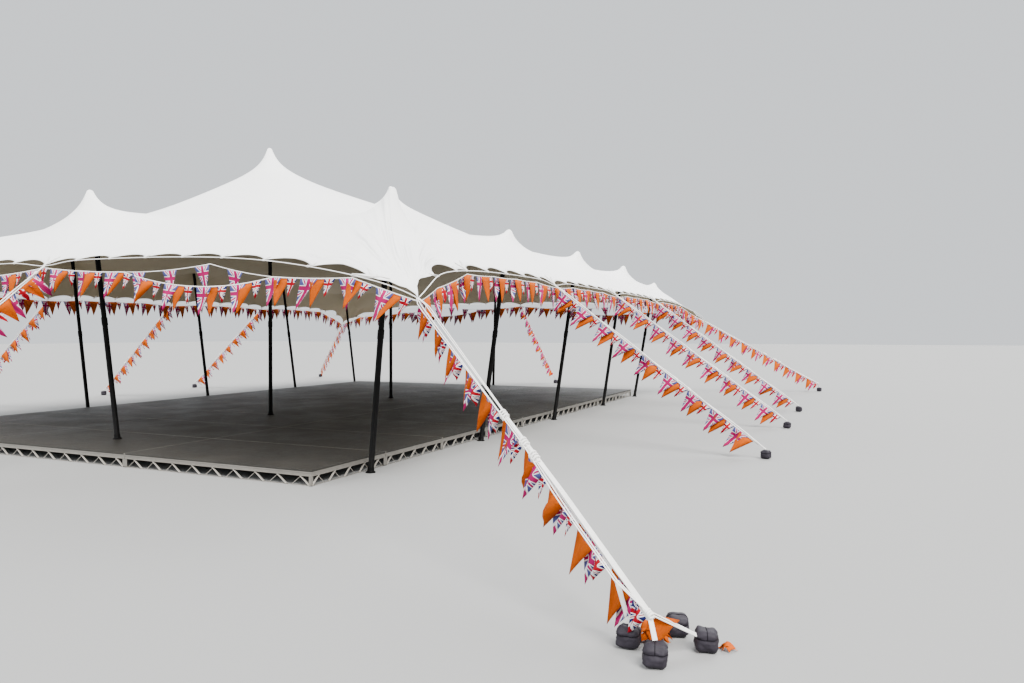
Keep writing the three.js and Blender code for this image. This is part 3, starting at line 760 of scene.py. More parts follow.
@functools.lru_cache(maxsize=1)
def formed_net(shape):
    """Net coordinates a and b, and the fabric's points, by row and column. The net is kept for as
    long as shape, the settings that shape it, stays the same."""
    CROWN, FIRST_HEIGHT, TO_RIM = 0.027, 2.6, 1.01
    c = settings().canopy
    heads = pole_heads()
    rows_at = sorted({at[1] for at, _, _ in heads})
    head_x = heads[0][0][0]
    columns = net_lines([-head_x, 0.0, head_x], c.half_width, c.net_gap)
    rows = net_lines(rows_at, c.half_length, c.net_gap)
    a, b = np.meshgrid(columns, rows)
    x, y = drawn_aside(a, b, heads, c)
    east, north = (np.hypot(np.diff(x, axis=axis), np.diff(y, axis=axis)) for axis in (1, 0))
    weights = []
    for axis, spans, other in ((1, east, north), (0, north, east)):
        width = middles(half_reach(other, 1 - axis), axis)
        strength = pull(*(middles(g, axis) for g in (x, y, a, b)), heads, axis == 0)
        weights.append(strength * width / spans)
    z = np.full(a.shape, FIRST_HEIGHT)
    fixed = (abs(a) >= c.half_width - EXACT) | (abs(b) >= c.half_length - EXACT)
    z[fixed] = edge_heights(a, b, guy_ties(), c)[fixed]
    for at, _, height in heads:
        away = np.hypot(a - at[0], b - at[1]) / PATCH
        patch = away <= TO_RIM
        fixed |= patch
        z[patch] = height - CROWN * away[patch] ** 2
    relax(z, fixed, *weights)
    z += fuller(x, y) * ~fixed
    return a, b, np.dstack((x, y, z))


def fuller(x, y):
    """How much higher the fabric stands on both flanks of the two tall poles than the net does,
    which keeps the ridge between them as it is."""
    RISE, RIDGE, FLANK, MIDDLE, LONG = 0.14, 0.5, 2.2, -0.5, 2.3
    off_ridge = x ** 2 / (RIDGE ** 2 + x ** 2)
    return (RISE * off_ridge * np.exp(-(x / FLANK) ** 2)
            * np.exp(-((y - MIDDLE) / LONG) ** 4))


def relax(z, fixed, east, north):
    """Red and black over-relaxation of the heights that nothing holds."""
    SWEEPS, OVER = 700, 1.955
    e, w = east[1:-1, 1:], east[1:-1, :-1]
    n, s = north[1:, 1:-1], north[:-1, 1:-1]
    total = e + w + n + s
    row, column = np.indices(z.shape)
    free = ~fixed[1:-1, 1:-1]
    colours = [free & ((row + column)[1:-1, 1:-1] % 2 == k) for k in (0, 1)]
    inner = z[1:-1, 1:-1]
    for _ in range(SWEEPS):
        for mask in colours:
            drawn = (e * z[1:-1, 2:] + w * z[1:-1, :-2] + n * z[2:, 1:-1] + s * z[:-2, 1:-1])
            inner += np.where(mask, OVER * (drawn / total - inner), 0)


def guy_rows(hand="right"):
    """Where the guys of one side pull on the edge, from front to back."""
    return [ends(f"side_pole_{hand}_{row}")[1].y for row in SIDE_GUYS.values()]


def guy_ties():
    """The net's border points that the side and end guys pull on."""
    c = settings().canopy
    found = [(END_GUY_X, sy * c.half_length) for sy, _ in ENDS]
    return found + [(sx * c.half_width, y) for sx, hand in SIDES for y in guy_rows(hand)]


def edge_ties():
    """Where the big ties sit along the front and back edges, and along the long sides."""
    return (-FRONT_TIE_X, END_GUY_X, FRONT_TIE_X), (-SIDE_TIE_Y, *guy_rows(), SIDE_TIE_Y)


def shape_settings():
    """The settings that shape the fabric. It is formed anew when one of them changes."""
    c = settings().canopy
    return tuple(getattr(c, key) for key in (
        "half_width", "half_length", "corner_out", "corner_back", "corner_height",
        "front_height", "side_height", "tie_dip", "net_gap", "scallop", "loop_pitch"))


def loop_places(half, ties):
    """Where the webbing loops sit along an edge: at its ends, its ties, and evenly between."""
    pitch = settings().canopy.loop_pitch
    stops = sorted([-half, half, *ties])
    found = []
    for before, after in zip(stops, stops[1:]):
        count = max(1, round((after - before) / pitch))
        found += [before + (after - before) * k / count for k in range(count)]
    return np.array(found + [half])


def edge_loops():
    """Loop places along the front and back edges, and along the long sides."""
    NEAR_CORNER = (0.50, 1.05)
    c = settings().canopy
    across, along = edge_ties()
    more = [sign * (c.half_length - reach) for sign in (-1, 1) for reach in NEAR_CORNER]
    return loop_places(c.half_width, across), loop_places(c.half_length, (*along, *more))


def bay_of(stops, place):
    """The number of the bay between two stops that a place is in."""
    return min(max(int(np.searchsorted(stops, place)) - 1, 0), len(stops) - 2)


def scalloped(points, a, b):
    """The fabric drawn back from its edge rope between the loops, deeper near the corners."""
    REACH = 0.42
    CORNER_DEPTH, CORNER_FADE = 0.035, 1.2
    WIDEST, FULLNESS = 1.2, 0.8
    c = settings().canopy
    across, along = edge_loops()
    out = points.copy()
    for loops, half, places, line_at in (
            (across, c.half_width, a[0], lambda k: (slice(None), k)),
            (along, c.half_length, b[:, 0], lambda k: (k, slice(None)))):
        for k, s in enumerate(places):
            n = bay_of(loops, s)
            before, after = loops[n:n + 2]
            bay = after - before
            t = (s - before) / bay
            corner = CORNER_DEPTH * math.exp(-(half - abs(s)) / CORNER_FADE)
            depth = (c.scallop + corner) * min(WIDEST, bay / c.loop_pitch) ** 2
            depth *= max(0.0, 4 * t * (1 - t)) ** FULLNESS
            line = out[line_at(k)]
            run = run_of(line)
            near_start = depth * np.clip(1 - run / REACH, 0, 1) ** 2
            near_end = depth * np.clip(1 - (run[-1] - run) / REACH, 0, 1) ** 2
            out[line_at(k)] = on_line(line, run, run + near_start - near_end)
    return out


def folds(points, a, b):
    """Soft folds that fan out of the four corner tips and the guys' ties, clear of the heads."""
    CORNER, TIE = (0.045, 1.3, 13.0), (0.008, 0.7, 8.0)
    GROW, FAN, SHIFT = 0.25, 0.55, 0.7
    EDGE, HEAD_REACH = 0.05, 0.30
    c = settings().canopy
    lift = np.zeros(a.shape)
    spots = [(sx * c.half_width, sy * c.half_length, -sx, -sy, CORNER)
             for sx, _ in SIDES for sy, _ in ENDS]
    spots += [(ta, tb, -np.sign(ta) * (abs(ta) > 1), -np.sign(tb) * (abs(ta) < 1), TIE)
              for ta, tb in guy_ties()]
    for k, (ta, tb, da, db, (depth, reach, count)) in enumerate(spots):
        away = np.hypot(a - ta, b - tb)
        turn = np.arctan2(b - tb, a - ta) - math.atan2(db, da)
        turn = (turn + math.pi) % math.tau - math.pi
        grown = np.clip(away / GROW, 0, 1) ** 1.5 * np.exp(-(away / reach) ** 2)
        fan = np.exp(-(turn / FAN) ** 2) * np.sin(turn * count + SHIFT * k)
        lift += depth * grown * fan
    fade = np.clip(np.minimum(c.half_width - abs(a), c.half_length - abs(b)) / EDGE, 0, 1)
    for at, _, _ in pole_heads():
        fade *= 1 - np.exp(-(np.hypot(a - at[0], b - at[1]) / HEAD_REACH) ** 4)
    out = points.copy()
    out[:, :, 2] += lift * fade
    return out


# Operators

class StageOperator(bpy.types.Operator):
    """Lays the pale floor and sets the backdrop, the soft lights and the camera"""
    bl_idname = "stretch_tent.stage"
    bl_label = "Stage"

    def execute(self, context):
        s = settings().stage
        self.floor(s.floor)
        self.backdrop(context, s.sky)
        for name, place, strength, tone in (
                ("key_light", (16, -12, 22), 10.0, (1.0, 0.985, 0.96)),
                ("fill_light", (-18, -16, 14), 2.8, (0.95, 0.975, 1.0)),
                ("back_light", (2, 24, 18), 3.0, (0.97, 0.985, 1.0))):
            self.light(name, place, strength, tone)
        self.camera(context)
        return {"FINISHED"}

    def floor(self, tone):
        REACH, ROUGH = 90, 0.9

        def build(tree):
            return {"colour": worn(tree, tone, scaled(tone, 0.97), Size=0.2)["Color"]}
        bm = bmesh.new()
        bmesh.ops.create_grid(bm, x_segments=1, y_segments=1, size=REACH)
        finish = material("floor_plain", ROUGH, build)
        placed("floor", mesh_from(bm, "floor", finish))

    def backdrop(self, context, tone):
        STRENGTH = 1.7
        world = bpy.data.worlds.new("backdrop")
        context.scene.world = world
        world.use_nodes = True
        sky = world.node_tree.nodes["Background"]
        sky.inputs["Color"].default_value = (*tone, 1)
        sky.inputs["Strength"].default_value = STRENGTH

    def light(self, name, place, strength, tone):
        """A soft light that shines from its place towards the origin."""
        SOFT = math.radians(38)
        lamp = bpy.data.lights.new(name, "SUN")
        lamp.angle = SOFT
        lamp.energy = strength
        lamp.color = tone
        self.aimed(placed(name, lamp), place, -Vector(place))

    def camera(self, context):
        """The photograph's view, from its scale of 761 pixels over a width of 1024."""
        SENSOR, PIXELS, SCALE = 36.0, 1024, 761.0
        PLACE = (8.197, -11.47, 1.41)
        LEVEL_AIM = (-0.410, 0.912)
        HORIZON_ABOVE_MIDDLE = 8.5
        FARTHEST = 400
        lens = bpy.data.cameras.new("camera")
        lens.sensor_width = SENSOR
        lens.lens = SENSOR * SCALE / PIXELS
        lens.clip_end = FARTHEST
        context.scene.camera = placed("camera", lens)
        self.aimed(context.scene.camera, PLACE,
                   Vector((*LEVEL_AIM, -HORIZON_ABOVE_MIDDLE / SCALE)))

    def aimed(self, holder, place, aim):
        holder.location = place
        holder.rotation_euler = aim.to_track_quat("-Z", "Y").to_euler()


class CanopyOperator(bpy.types.Operator):
    """Forms the canopy: one elastic sheet with scalloped hems and soft folds at its ties"""
    bl_idname = "stretch_tent.canopy"
    bl_label = "Canopy"

    def execute(self, context):
        c = settings().canopy
        a, b, points = fabric()
        long, wide = a.shape
        bm = bmesh.new()
        uv = bm.loops.layers.uv.verify()
        bmesh.ops.create_grid(bm, x_segments=wide - 1, y_segments=long - 1, size=1)
        cut = {}
        for vert in bm.verts:
            i = round((vert.co.x + 1) / 2 * (wide - 1))
            j = round((vert.co.y + 1) / 2 * (long - 1))
            vert.co = points[j, i]
            cut[vert] = (a[j, i], b[j, i])
        for face in bm.faces:
            for loop in face.loops:
                loop[uv].uv = cut[loop.vert]
        canopy = piece_from(bm, "canopy_sheet", canopy_finish(), underside_finish())
        skin = canopy.modifiers.new("fabric thickness", "SOLIDIFY")
        skin.thickness = c.thickness
        skin.offset = -1
        skin.material_offset = 1
        skin.material_offset_rim = 0
        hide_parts(*(f"canopy_{half}_{strip}" for half in ("front", "back")
                              for strip in ("left", "middle", "right")))
        return {"FINISHED"}


@functools.lru_cache(maxsize=1)
def finished_fabric(shape):
    """What fabric() gives, worked out once for each set of the shape's settings."""
    a, b, points = formed_net(shape)
    return a, b, scalloped(folds(points, a, b), a, b)


def fabric():
    """Net coordinates a and b, and the finished fabric's points, with its folds and scallops."""
    return finished_fabric(shape_settings())


def rim_points():
    """The net's border, counterclockwise from above, as points and outward directions."""
    _, _, points = formed_net(shape_settings())
    path = [*points[0, :-1], *points[:-1, -1], *points[-1, :0:-1], *points[:0:-1, 0]]
    rim = [Vector(p) for p in path]
    outward = []
    for k in range(len(rim)):
        run = rim[(k + 1) % len(rim)] - rim[k - 1]
        outward.append(Vector((run.y, -run.x, 0)).normalized())
    return rim, outward


def rope_line():
    """The edge rope's centre line, just outside the fabric's straight border."""
    CLEAR, DOWN, FLAT_OF_RADIUS = 0.0003, 0.006, math.cos(math.pi / 6)
    out_by = settings().rope.edge_radius * FLAT_OF_RADIUS + CLEAR
    rim, outward = rim_points()
    return [p + out * out_by - UP * DOWN for p, out in zip(rim, outward)]


def rope_at(axis, sign, value):
    """Where the edge rope passes a place: axis 0 along a long side, 1 along the front or back."""
    SLACK = 0.001
    c = settings().canopy
    other = 1 - axis
    limit = (c.half_width, c.half_length)[axis] - SLACK
    line = sorted((p for p in rope_line() if sign * p[axis] > limit), key=lambda p: p[other])
    k = next(n for n, p in enumerate(line) if p[other] >= value)
    before, after = line[k - 1], line[k]
    return before.lerp(after, (value - before[other]) / (after[other] - before[other]))


def surface_at(axis, sign, value, inboard):
    """A point on the fabric's top, a given way in from the edge at a place along it."""
    a, b, points = fabric()
    places = a[0] if axis else b[:, 0]
    n = bay_of(places, value)
    before, after = places[n:n + 2]
    found = []
    for k in (n, n + 1):
        line = points[:, k] if axis else points[k]
        line = line if sign < 0 else line[::-1]
        found.append(Vector(on_line(line, run_of(line), inboard)))
    return found[0].lerp(found[1], (value - before) / (after - before))


def surface_normal(axis, sign, value, inboard):
    """The direction that the fabric's top faces in, at the same kind of place."""
    REACH = 0.03
    along = surface_at(axis, sign, value + REACH, inboard) - surface_at(
        axis, sign, value - REACH, inboard)
    inward = surface_at(axis, sign, value, inboard + REACH) - surface_at(
        axis, sign, value, max(0.0, inboard - REACH))
    normal = along.cross(inward).normalized()
    return normal if normal.z > 0 else -normal


class EdgeOperator(bpy.types.Operator):
    """Runs the rope along the free edge, with its webbing loops and big ties"""
    bl_idname = "stretch_tent.edge"
    bl_label = "Edge rope and loops"

    def execute(self, context):
        r = settings().rope
        bm = bmesh.new()
        swept(bm, rope_line(), 2 * r.edge_radius, 2 * r.edge_radius, 8, up=UP, closed=True)
        close(bm)
        rope = piece_from(bm, "edge_rope_laid", rope_finish())
        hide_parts("edge_rope")
        self.sewn("webbing_loops", self.tab, [places[1:-1] for places in edge_loops()])
        self.sewn("webbing_ties", self.fan, edge_ties())
        return {"FINISHED"}

    def sewn(self, name, sew, places):
        """Straps sewn on the front and back edges, and on the long sides, in one piece."""
        bm = bmesh.new()
        for axis, along_it in zip((1, 0), places):
            for sign in (-1, 1):
                for place in along_it:
                    sew(bm, axis, sign, place)
        close(bm)
        straps = piece_from(bm, name, webbing_finish())
        sharpen(straps)

    WIDTH, THICK = 0.024, 0.003

    def tab(self, bm, axis, sign, place):
        """One loop: sewn on the fabric, over the rope and back underneath, a little slanted."""
        SEWN, SLANT, EDGE = 0.055, 0.012, 0.004
        ROUND = (0.3, 1.0, 1.6, 2.2, 2.9)
        CLEAR, CLEAR_ABOVE = 0.0005, 0.0008
        over = UP * (self.THICK / 2 + CLEAR_ABOVE)
        under = UP * (settings().canopy.thickness + self.THICK / 2 + CLEAR)
        radius = settings().rope.edge_radius + self.THICK / 2 + CLEAR
        rope = rope_at(axis, sign, place)
        along, out = facing(1 - axis, 1), facing(axis, sign)
        inner = surface_at(axis, sign, place, SEWN) + along * SLANT
        edge = surface_at(axis, sign, place, EDGE)
        path = [inner + over, edge + over]
        path += [rope + (UP * math.cos(t) + out * math.sin(t)) * radius for t in ROUND]
        path += [edge - under, inner - under]
        swept(bm, path, self.WIDTH, self.THICK, 4, up=self.normals(path, along))

    def normals(self, path, along):
        """For each point of a strap's path, the direction that its face looks in."""
        found = []
        for k in range(len(path)):
            run = path[min(k + 1, len(path) - 1)] - path[max(k - 1, 0)]
            found.append(run.cross(along).normalized())
        return found

    def fan(self, bm, axis, sign, place):
        """Two straps sewn on the fabric that run together in a V where a guy ties on."""
        SPREAD, DEEP, BOW, STEPS = 0.09, 0.09, 0.7, 8
        OVER_ROPE, PROUD, FIRST = 0.008, 0.004, 0.02
        rope = rope_at(axis, sign, place)
        for side in (-1, 1):
            path, ups = [rope + UP * OVER_ROPE], [surface_normal(axis, sign, place, FIRST)]
            for k in range(1, STEPS + 1):
                t = k / STEPS
                at = (axis, sign, place + side * SPREAD * t, DEEP * t ** BOW)
                normal = surface_normal(*at)
                path.append(surface_at(*at) + normal * (self.THICK / 2 + PROUD))
                ups.append(normal)
            swept(bm, path, self.WIDTH, self.THICK, 4, up=ups)


class PolesOperator(bpy.types.Operator):
    """Turns each pole: a foot plate, a tube in two lengths with a sleeve, and a rubber head"""
    bl_idname = "stretch_tent.poles"
    bl_label = "Poles"

    def execute(self, context):
        edge = [f"side_pole_{hand}_{row}" for _, hand in SIDES for row in POLE_ROWS]
        edge += ["front_pole", "back_pole"]
        paint = paint_finish()
        for name, members in (("edge_poles", edge),
                              ("king_poles", ["king_pole_front", "king_pole_back"])):
            bm = bmesh.new()
            for member in members:
                self.pole(bm, *ends(member))
            bmesh.ops.recalc_face_normals(bm, faces=bm.faces)
            piece = piece_from(bm, name, paint)
            sharpen(piece, 40)
            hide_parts(*members)
        return {"FINISHED"}

    def pole(self, bm, foot, head):
        """One pole, from its half outline turned round: radius and height of each point."""
        SECTIONS, INTO_FABRIC, MEET = 28, 0.008, 0.0001
        SLEEVE_AT, SLEEVE, SLEEVE_OUT, UPPER_IN = 1.35, 0.09, 0.004, 0.0015
        radius = settings().pole.radius
        height = head.z - foot.z + INTO_FABRIC
        sleeve, upper, sleeve_top = radius + SLEEVE_OUT, radius - UPPER_IN, SLEEVE_AT + SLEEVE
        profile = [
            (0, 0), (0.050, 0), (0.052, 0.002), (0.052, 0.007), (0.049, 0.010),
            (0.040, 0.011), (0.036, 0.016), (0.034, 0.050), (0.033, 0.056), (radius, 0.060),
            (radius, SLEEVE_AT), (sleeve, SLEEVE_AT + 0.003), (sleeve, sleeve_top),
            (upper, sleeve_top + 0.004), (upper, height - 0.085), (0.0325, height - 0.080),
            (0.0325, height - 0.032), (0.030, height - 0.018), (0.022, height - 0.008),
            (0.012, height - 0.002), (0, height),
        ]
        verts = [bm.verts.new((x, 0, z)) for x, z in profile]
        edges = [bm.edges.new(pair) for pair in zip(verts, verts[1:])]
        bmesh.ops.spin(bm, geom=verts + edges, cent=(0, 0, 0), axis=(0, 0, 1), angle=math.tau,
                       steps=SECTIONS, use_merge=True)
        new = [v for v in bm.verts if not v.tag]
        rake = Matrix.Identity(4)
        rake[0][2] = (head.x - foot.x) / height
        rake[1][2] = (head.y - foot.y) / height
        bmesh.ops.transform(bm, matrix=Matrix.Translation(foot) @ rake, verts=new)
        bmesh.ops.remove_doubles(bm, verts=new, dist=MEET)
        for vert in bm.verts:
            vert.tag = True


class GuysOperator(bpy.types.Operator):
    """Rigs the guys: two ropes at the sides and ends, a bundle of strands at the corners"""
    bl_idname = "stretch_tent.guys"
    bl_label = "Guys"

    def execute(self, context):
        for name, *places in side_and_end_guys():
            self.rigged(name, self.doubled, places)
        for name, *places in corner_guys():
            self.rigged(name, self.bundle, places)
        return {"FINISHED"}

    def rigged(self, name, rig, places):
        """The piece of one guy, which takes the place of its CAD node."""
        bm = bmesh.new()
        rig(bm, *places)
        close(bm)
        piece = piece_from(bm, f"{name}_ropes", rope_finish(), webbing_finish())
        sharpen(piece, 50)
        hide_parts(name)

    def beside(self, start, end, stations, steps=30):
        """A path beside the line from start to end. A station is a share of the line, with how
        far the path runs to the side of the line and above it there."""
        along = (end - start).normalized()
        side = UP.cross(along).normalized()
        over = along.cross(side)
        shares, sides, lifts = zip(*stations)
        path = []
        for k in range(steps + 1):
            t = shares[0] + (shares[-1] - shares[0]) * k / steps
            path.append(start.lerp(end, t) + side * float(np.interp(t, shares, sides))
                        + over * float(np.interp(t, shares, lifts)))
        return path

    def rope(self, bm, path, share=1.0):
        """A round rope along a path, of a share of the guys' full width."""
        width = 2 * settings().rope.guy_radius * share
        swept(bm, path, width, width, 7)

    def strap(self, bm, path, width, turn=0.0, face=None):
        """A flat strap that turns about its path by an angle. It starts facing up, or as told."""
        THICK = 0.004
        along = (path[-1] - path[0]).normalized()
        over = face or along.cross(UP.cross(along).normalized())
        last = len(path) - 1
        ups = [Matrix.Rotation(turn * k / last, 3, along) @ over for k in range(last + 1)]
        swept(bm, path, width, THICK, 4, up=ups, index=1)

    def knot(self, bm, place, along, size):
        """A hitch: turns of rope round the guy, and a short tail."""
        TURNS, STEPS = 2.6, 26
        LONG, RADIUS, TAIL = 1.2, 0.42, 0.8
        side = UP.cross(along).normalized()
        over = along.cross(side)
        path = []
        for k in range(STEPS + 1):
            t = k / STEPS
            angle = math.tau * TURNS * t
            path.append(place + along * (size * (t - 0.5) * LONG)
                        + (side * math.cos(angle) + over * math.sin(angle)) * size * RADIUS)
        tail = path[-1] + (over * 0.6 + side * 0.6 + along * 0.5).normalized() * size * TAIL
        path += [path[-1].lerp(tail, 0.5), tail]
        self.rope(bm, path)

    def doubled(self, bm, start, seat):
        """Two ropes laid loosely round each other, hitched under the edge and lower down."""
        TURNS, STEPS = 2.0, 32
        HITCHES = ((0.04, 0.030), (0.60, 0.034), (0.66, 0.034))
        apart = settings().rope.guy_radius * 1.9
        for begin in (0, math.pi):
            stations = []
            for k in range(STEPS + 1):
                angle = begin + math.tau * TURNS * k / STEPS
                stations.append((k / STEPS, apart * math.cos(angle), apart * math.sin(angle)))
            self.rope(bm, self.beside(start, seat, stations, STEPS))
        along = (seat - start).normalized()
        for share, size in HITCHES:
            self.knot(bm, start.lerp(seat, share), along, size)

    def bundle(self, bm, corner, fork, seats):
        """Four strands to the hitches, a strap and two strands on to the fork, then the legs."""
        BRANCH = 0.935
        HITCHES, HITCH, LAST_HITCH = (0.52, 0.61, 0.65), 0.054, 0.028
        wide = settings().rope.webbing_width
        for share, stations in (
                (0.6, ((0, -0.012, 0), (0.04, -0.044, 0), (0.50, -0.020, 0.004), (0.62, -0.014, 0),
                       (0.75, -0.036, -0.010), (BRANCH, -0.040, -0.012), (1, 0, 0))),
                (0.6, ((0, -0.004, 0), (0.04, -0.015, -0.006), (0.50, -0.007, -0.008),
                       (0.65, -0.004, -0.006), (0.80, -0.022, -0.012),
                       (BRANCH, -0.026, -0.014), (1, 0.006, 0))),
                (0.6, ((0, 0, 0), (0.04, 0.015, 0.008), (0.50, 0.006, 0.008), (0.66, 0, 0.006))),
                (0.7, ((0, 0.006, 0), (0.04, 0.046, -0.006), (0.50, 0.020, 0), (0.66, 0.010, 0)))):
            self.rope(bm, self.beside(corner, fork, stations), share)
        self.strap(bm, self.beside(
            corner, fork, ((HITCHES[0], 0.006, 0.002), (0.75, 0.010, 0.004), (1, 0, 0))),
            wide, turn=0.6)
        along = (fork - corner).normalized()
        for share in HITCHES:
            self.knot(bm, corner.lerp(fork, share), along, HITCH)
        self.knot(bm, fork, along, LAST_HITCH)
        branch = self.beside(corner, fork, ((BRANCH, -0.03, -0.012), (1, 0, 0)))[0]
        outward = Vector((0.25 * math.copysign(1, corner.x), math.copysign(1, corner.y), 0))
        for k, seat in enumerate(seats):
            start = branch if k == 0 and len(seats) > 1 else fork
            if k < 2:
                self.strap(bm, self.beside(start, seat, ((0, 0, 0), (1, 0, 0)), 8), wide * 0.85,
                           turn=0.2, face=None if k else outward)
            else:
                self.leg(bm, start, seat)

    def leg(self, bm, start, seat):
        """Two strands under a narrow strap, tied to the near face of a cover, below its top."""
        BESIDE, BELOW = 0.045, 0.040
        towards = Vector((start.x - seat.x, start.y - seat.y, 0)).normalized()
        tied = seat + towards * BESIDE - UP * BELOW
        for side in (-1, 1):
            apart = ((0, 0.004 * side, 0), (0.4, 0.010 * side, 0), (1, 0.008 * side, 0))
            self.rope(bm, self.beside(start, tied, apart, 12), 0.7)
        self.strap(bm, self.beside(start, tied, ((0, 0, 0.010), (1, 0, 0.006)), 8),
                   settings().rope.webbing_width * 0.6, turn=0.4)


def seat_on(anchor):
    """The middle of the top of an anchor's cover."""
    seat = centre_of(anchor)
    seat.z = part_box(anchor)[1].z
    return seat


def side_and_end_guys():
    """Each guy's CAD node, its tie on the edge rope and its seat."""
    found = []
    for sx, hand in SIDES:
        for name, y in zip(SIDE_GUYS, guy_rows(hand)):
            found.append((f"guy_{hand}_{name}", rope_at(0, sx, y),
                          seat_on(f"anchor_{hand}_{name}")))
    for sy, which in ENDS:
        found.append((f"guy_{which}_centre", rope_at(1, sy, END_GUY_X),
                      seat_on(f"anchor_{which}_centre")))
    return found


def corner_guys():
    """Each corner guy's CAD node, its tie, the fork that its strands part at, and its seats."""
    FORK = (7.40, 8.26, 0.205)
    found = []
    for sy, which in ENDS:
        for sx, hand in SIDES:
            corner = min(rope_line(), key=lambda p: -sx * p.x - sy * p.y)
            anchors = [n for n in sorted(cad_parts)
                       if n.startswith(f"anchor_{which}_{hand}_")]
            fork = Vector((sx * FORK[0], sy * FORK[1], FORK[2]))
            found.append((f"guy_corner_{which}_{hand}", corner, fork,
                          [seat_on(n) for n in anchors]))
    return found


class AnchorsOperator(bpy.types.Operator):
    """Stuffs the padded covers over the ground stakes"""
    bl_idname = "stretch_tent.anchors"
    bl_label = "Anchor covers"

    def execute(self, context):
        SEED, ASKEW = 5, 0.3
        a = settings().anchor
        cover = plain_cloth("anchor_cover", a.cover, roughness=0.7, threads=1800.0, dirt=1.7,
                            gloss=0.3)
        piping = plain_cloth("anchor_piping", scaled(a.cover, 0.6), roughness=0.8, threads=3000.0)
        master = self.stuffed(context)
        names = sorted(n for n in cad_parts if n.startswith("anchor_"))
        draw = random.Random(SEED)
        for k, name in enumerate(names):
            centre = centre_of(name)
            centre.z = 0
            quarters = math.pi / 2 * (k % 4)
            turn = Matrix.Rotation(draw.uniform(-ASKEW, ASKEW) + quarters, 4, "Z")
            bm = bmesh.new()
            bm.from_mesh(master)
            crease = Vector((draw.uniform(0, 9), draw.uniform(0, 9), k))
            for vert in bm.verts:
                self.settle(vert, crease)
            self.seams(bm)
            bmesh.ops.transform(bm, matrix=Matrix.Translation(centre) @ turn, verts=bm.verts)
            piece = piece_from(bm, name.replace("anchor", "cover"), cover, piping)
            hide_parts(name)
        bpy.data.meshes.remove(master)
        return {"FINISHED"}

    SIZE, HEIGHT, SEAM = 0.102, 0.098, 0.66

    def stuffed(self, context):
        """The mesh of one cover, resting on the ground at the origin, swollen by cloth."""
        BOTTOM, ROUND, VOXEL = 0.004, 0.017, 0.006
        PRESSURE, STEPS, SWELL = 4, 20, 0.008
        half = self.SIZE / 2
        bm = bmesh.new()
        box_between(bm, (-half, -half, BOTTOM), (half, half, self.HEIGHT), bevel=ROUND)
        close(bm)
        work = placed("cover_master", mesh_from(bm, "cover_master"))
        grid = work.modifiers.new("remesh", "REMESH")
        grid.mode = "VOXEL"
        grid.voxel_size = VOXEL
        self.bake(work)
        rest = [v.co.copy() for v in work.data.vertices]
        cloth = work.modifiers.new("cloth", "CLOTH")
        cloth.settings.use_pressure = True
        cloth.settings.uniform_pressure_force = PRESSURE
        cloth.settings.effector_weights.gravity = 0
        for step in range(1, STEPS + 1):
            context.scene.frame_set(step)
        self.bake(work)
        for vert, start in zip(work.data.vertices, rest):
            moved = vert.co - start
            if moved.length > SWELL:
                vert.co = start + moved.normalized() * SWELL
        context.scene.frame_set(1)
        made = work.data.copy()
        bpy.data.objects.remove(work)
        return made

    def settle(self, vert, crease):
        """Creases run over the cover, its top slumps, and its foot is pressed flat."""
        BROAD, FINE = 24, 75
        BROAD_DEEP, FINE_DEEP, LIFT = 0.007, 0.003, 0.010
        PINCH, PINCH_REACH, SLUMP = 0.004, 0.07, 0.014
        MIDDLE, HIGHEST = 0.001, 0.1085
        reach = self.SIZE * 0.56
        co = vert.co
        ripple = (noise.noise(co * BROAD + crease) * BROAD_DEEP
                  + noise.noise(co * FINE + crease) * FINE_DEEP)
        pinch = PINCH * math.exp(-((co.z / self.HEIGHT - self.SEAM) / PINCH_REACH) ** 2)
        flat = Vector((co.x, co.y, 0))
        if flat.length > MIDDLE:
            co += flat.normalized() * (ripple - pinch)
        slump = (flat.length / self.SIZE) ** 2 * SLUMP
        lift = noise.noise(co * BROAD - crease) * LIFT - slump
        co.z += lift * min(1, co.z / self.HEIGHT)
        co.x = max(-reach, min(reach, co.x))
        co.y = max(-reach, min(reach, co.y))
        co.z = max(0.0, min(HIGHEST, co.z))

    def seams(self, bm):
        """Piping round the cover at two thirds of its height, and over its top."""
        COUNT, FAR, PROUD = 44, 0.2, 0.0004
        ROUND_WIDE, OVER_WIDE = 0.004, 0.0035
        skin = BVHTree.FromBMesh(bm)
        middle = UP * self.HEIGHT * self.SEAM

        def on_skin(out):
            found = skin.ray_cast(middle + out * FAR, -out)[0]
            return (found or middle + out * self.SIZE / 2) + out * PROUD
        turns = [math.tau * k / COUNT for k in range(COUNT)]
        round_it = [on_skin(Vector((math.cos(t), math.sin(t), 0))) for t in turns]
        over_it = [on_skin(Vector((math.cos(t), 0, math.sin(t)))) for t in turns if t <= math.pi]
        swept(bm, round_it, ROUND_WIDE, ROUND_WIDE, 5, up=UP, closed=True, index=1)
        swept(bm, over_it, OVER_WIDE, OVER_WIDE, 5, index=1)

    def bake(self, work):
        """Gives an object the mesh that its modifiers show, and no modifiers."""
        shown = work.evaluated_get(bpy.context.evaluated_depsgraph_get())
        mesh = bpy.data.meshes.new_from_object(shown)
        work.modifiers.clear()
        work.data = mesh


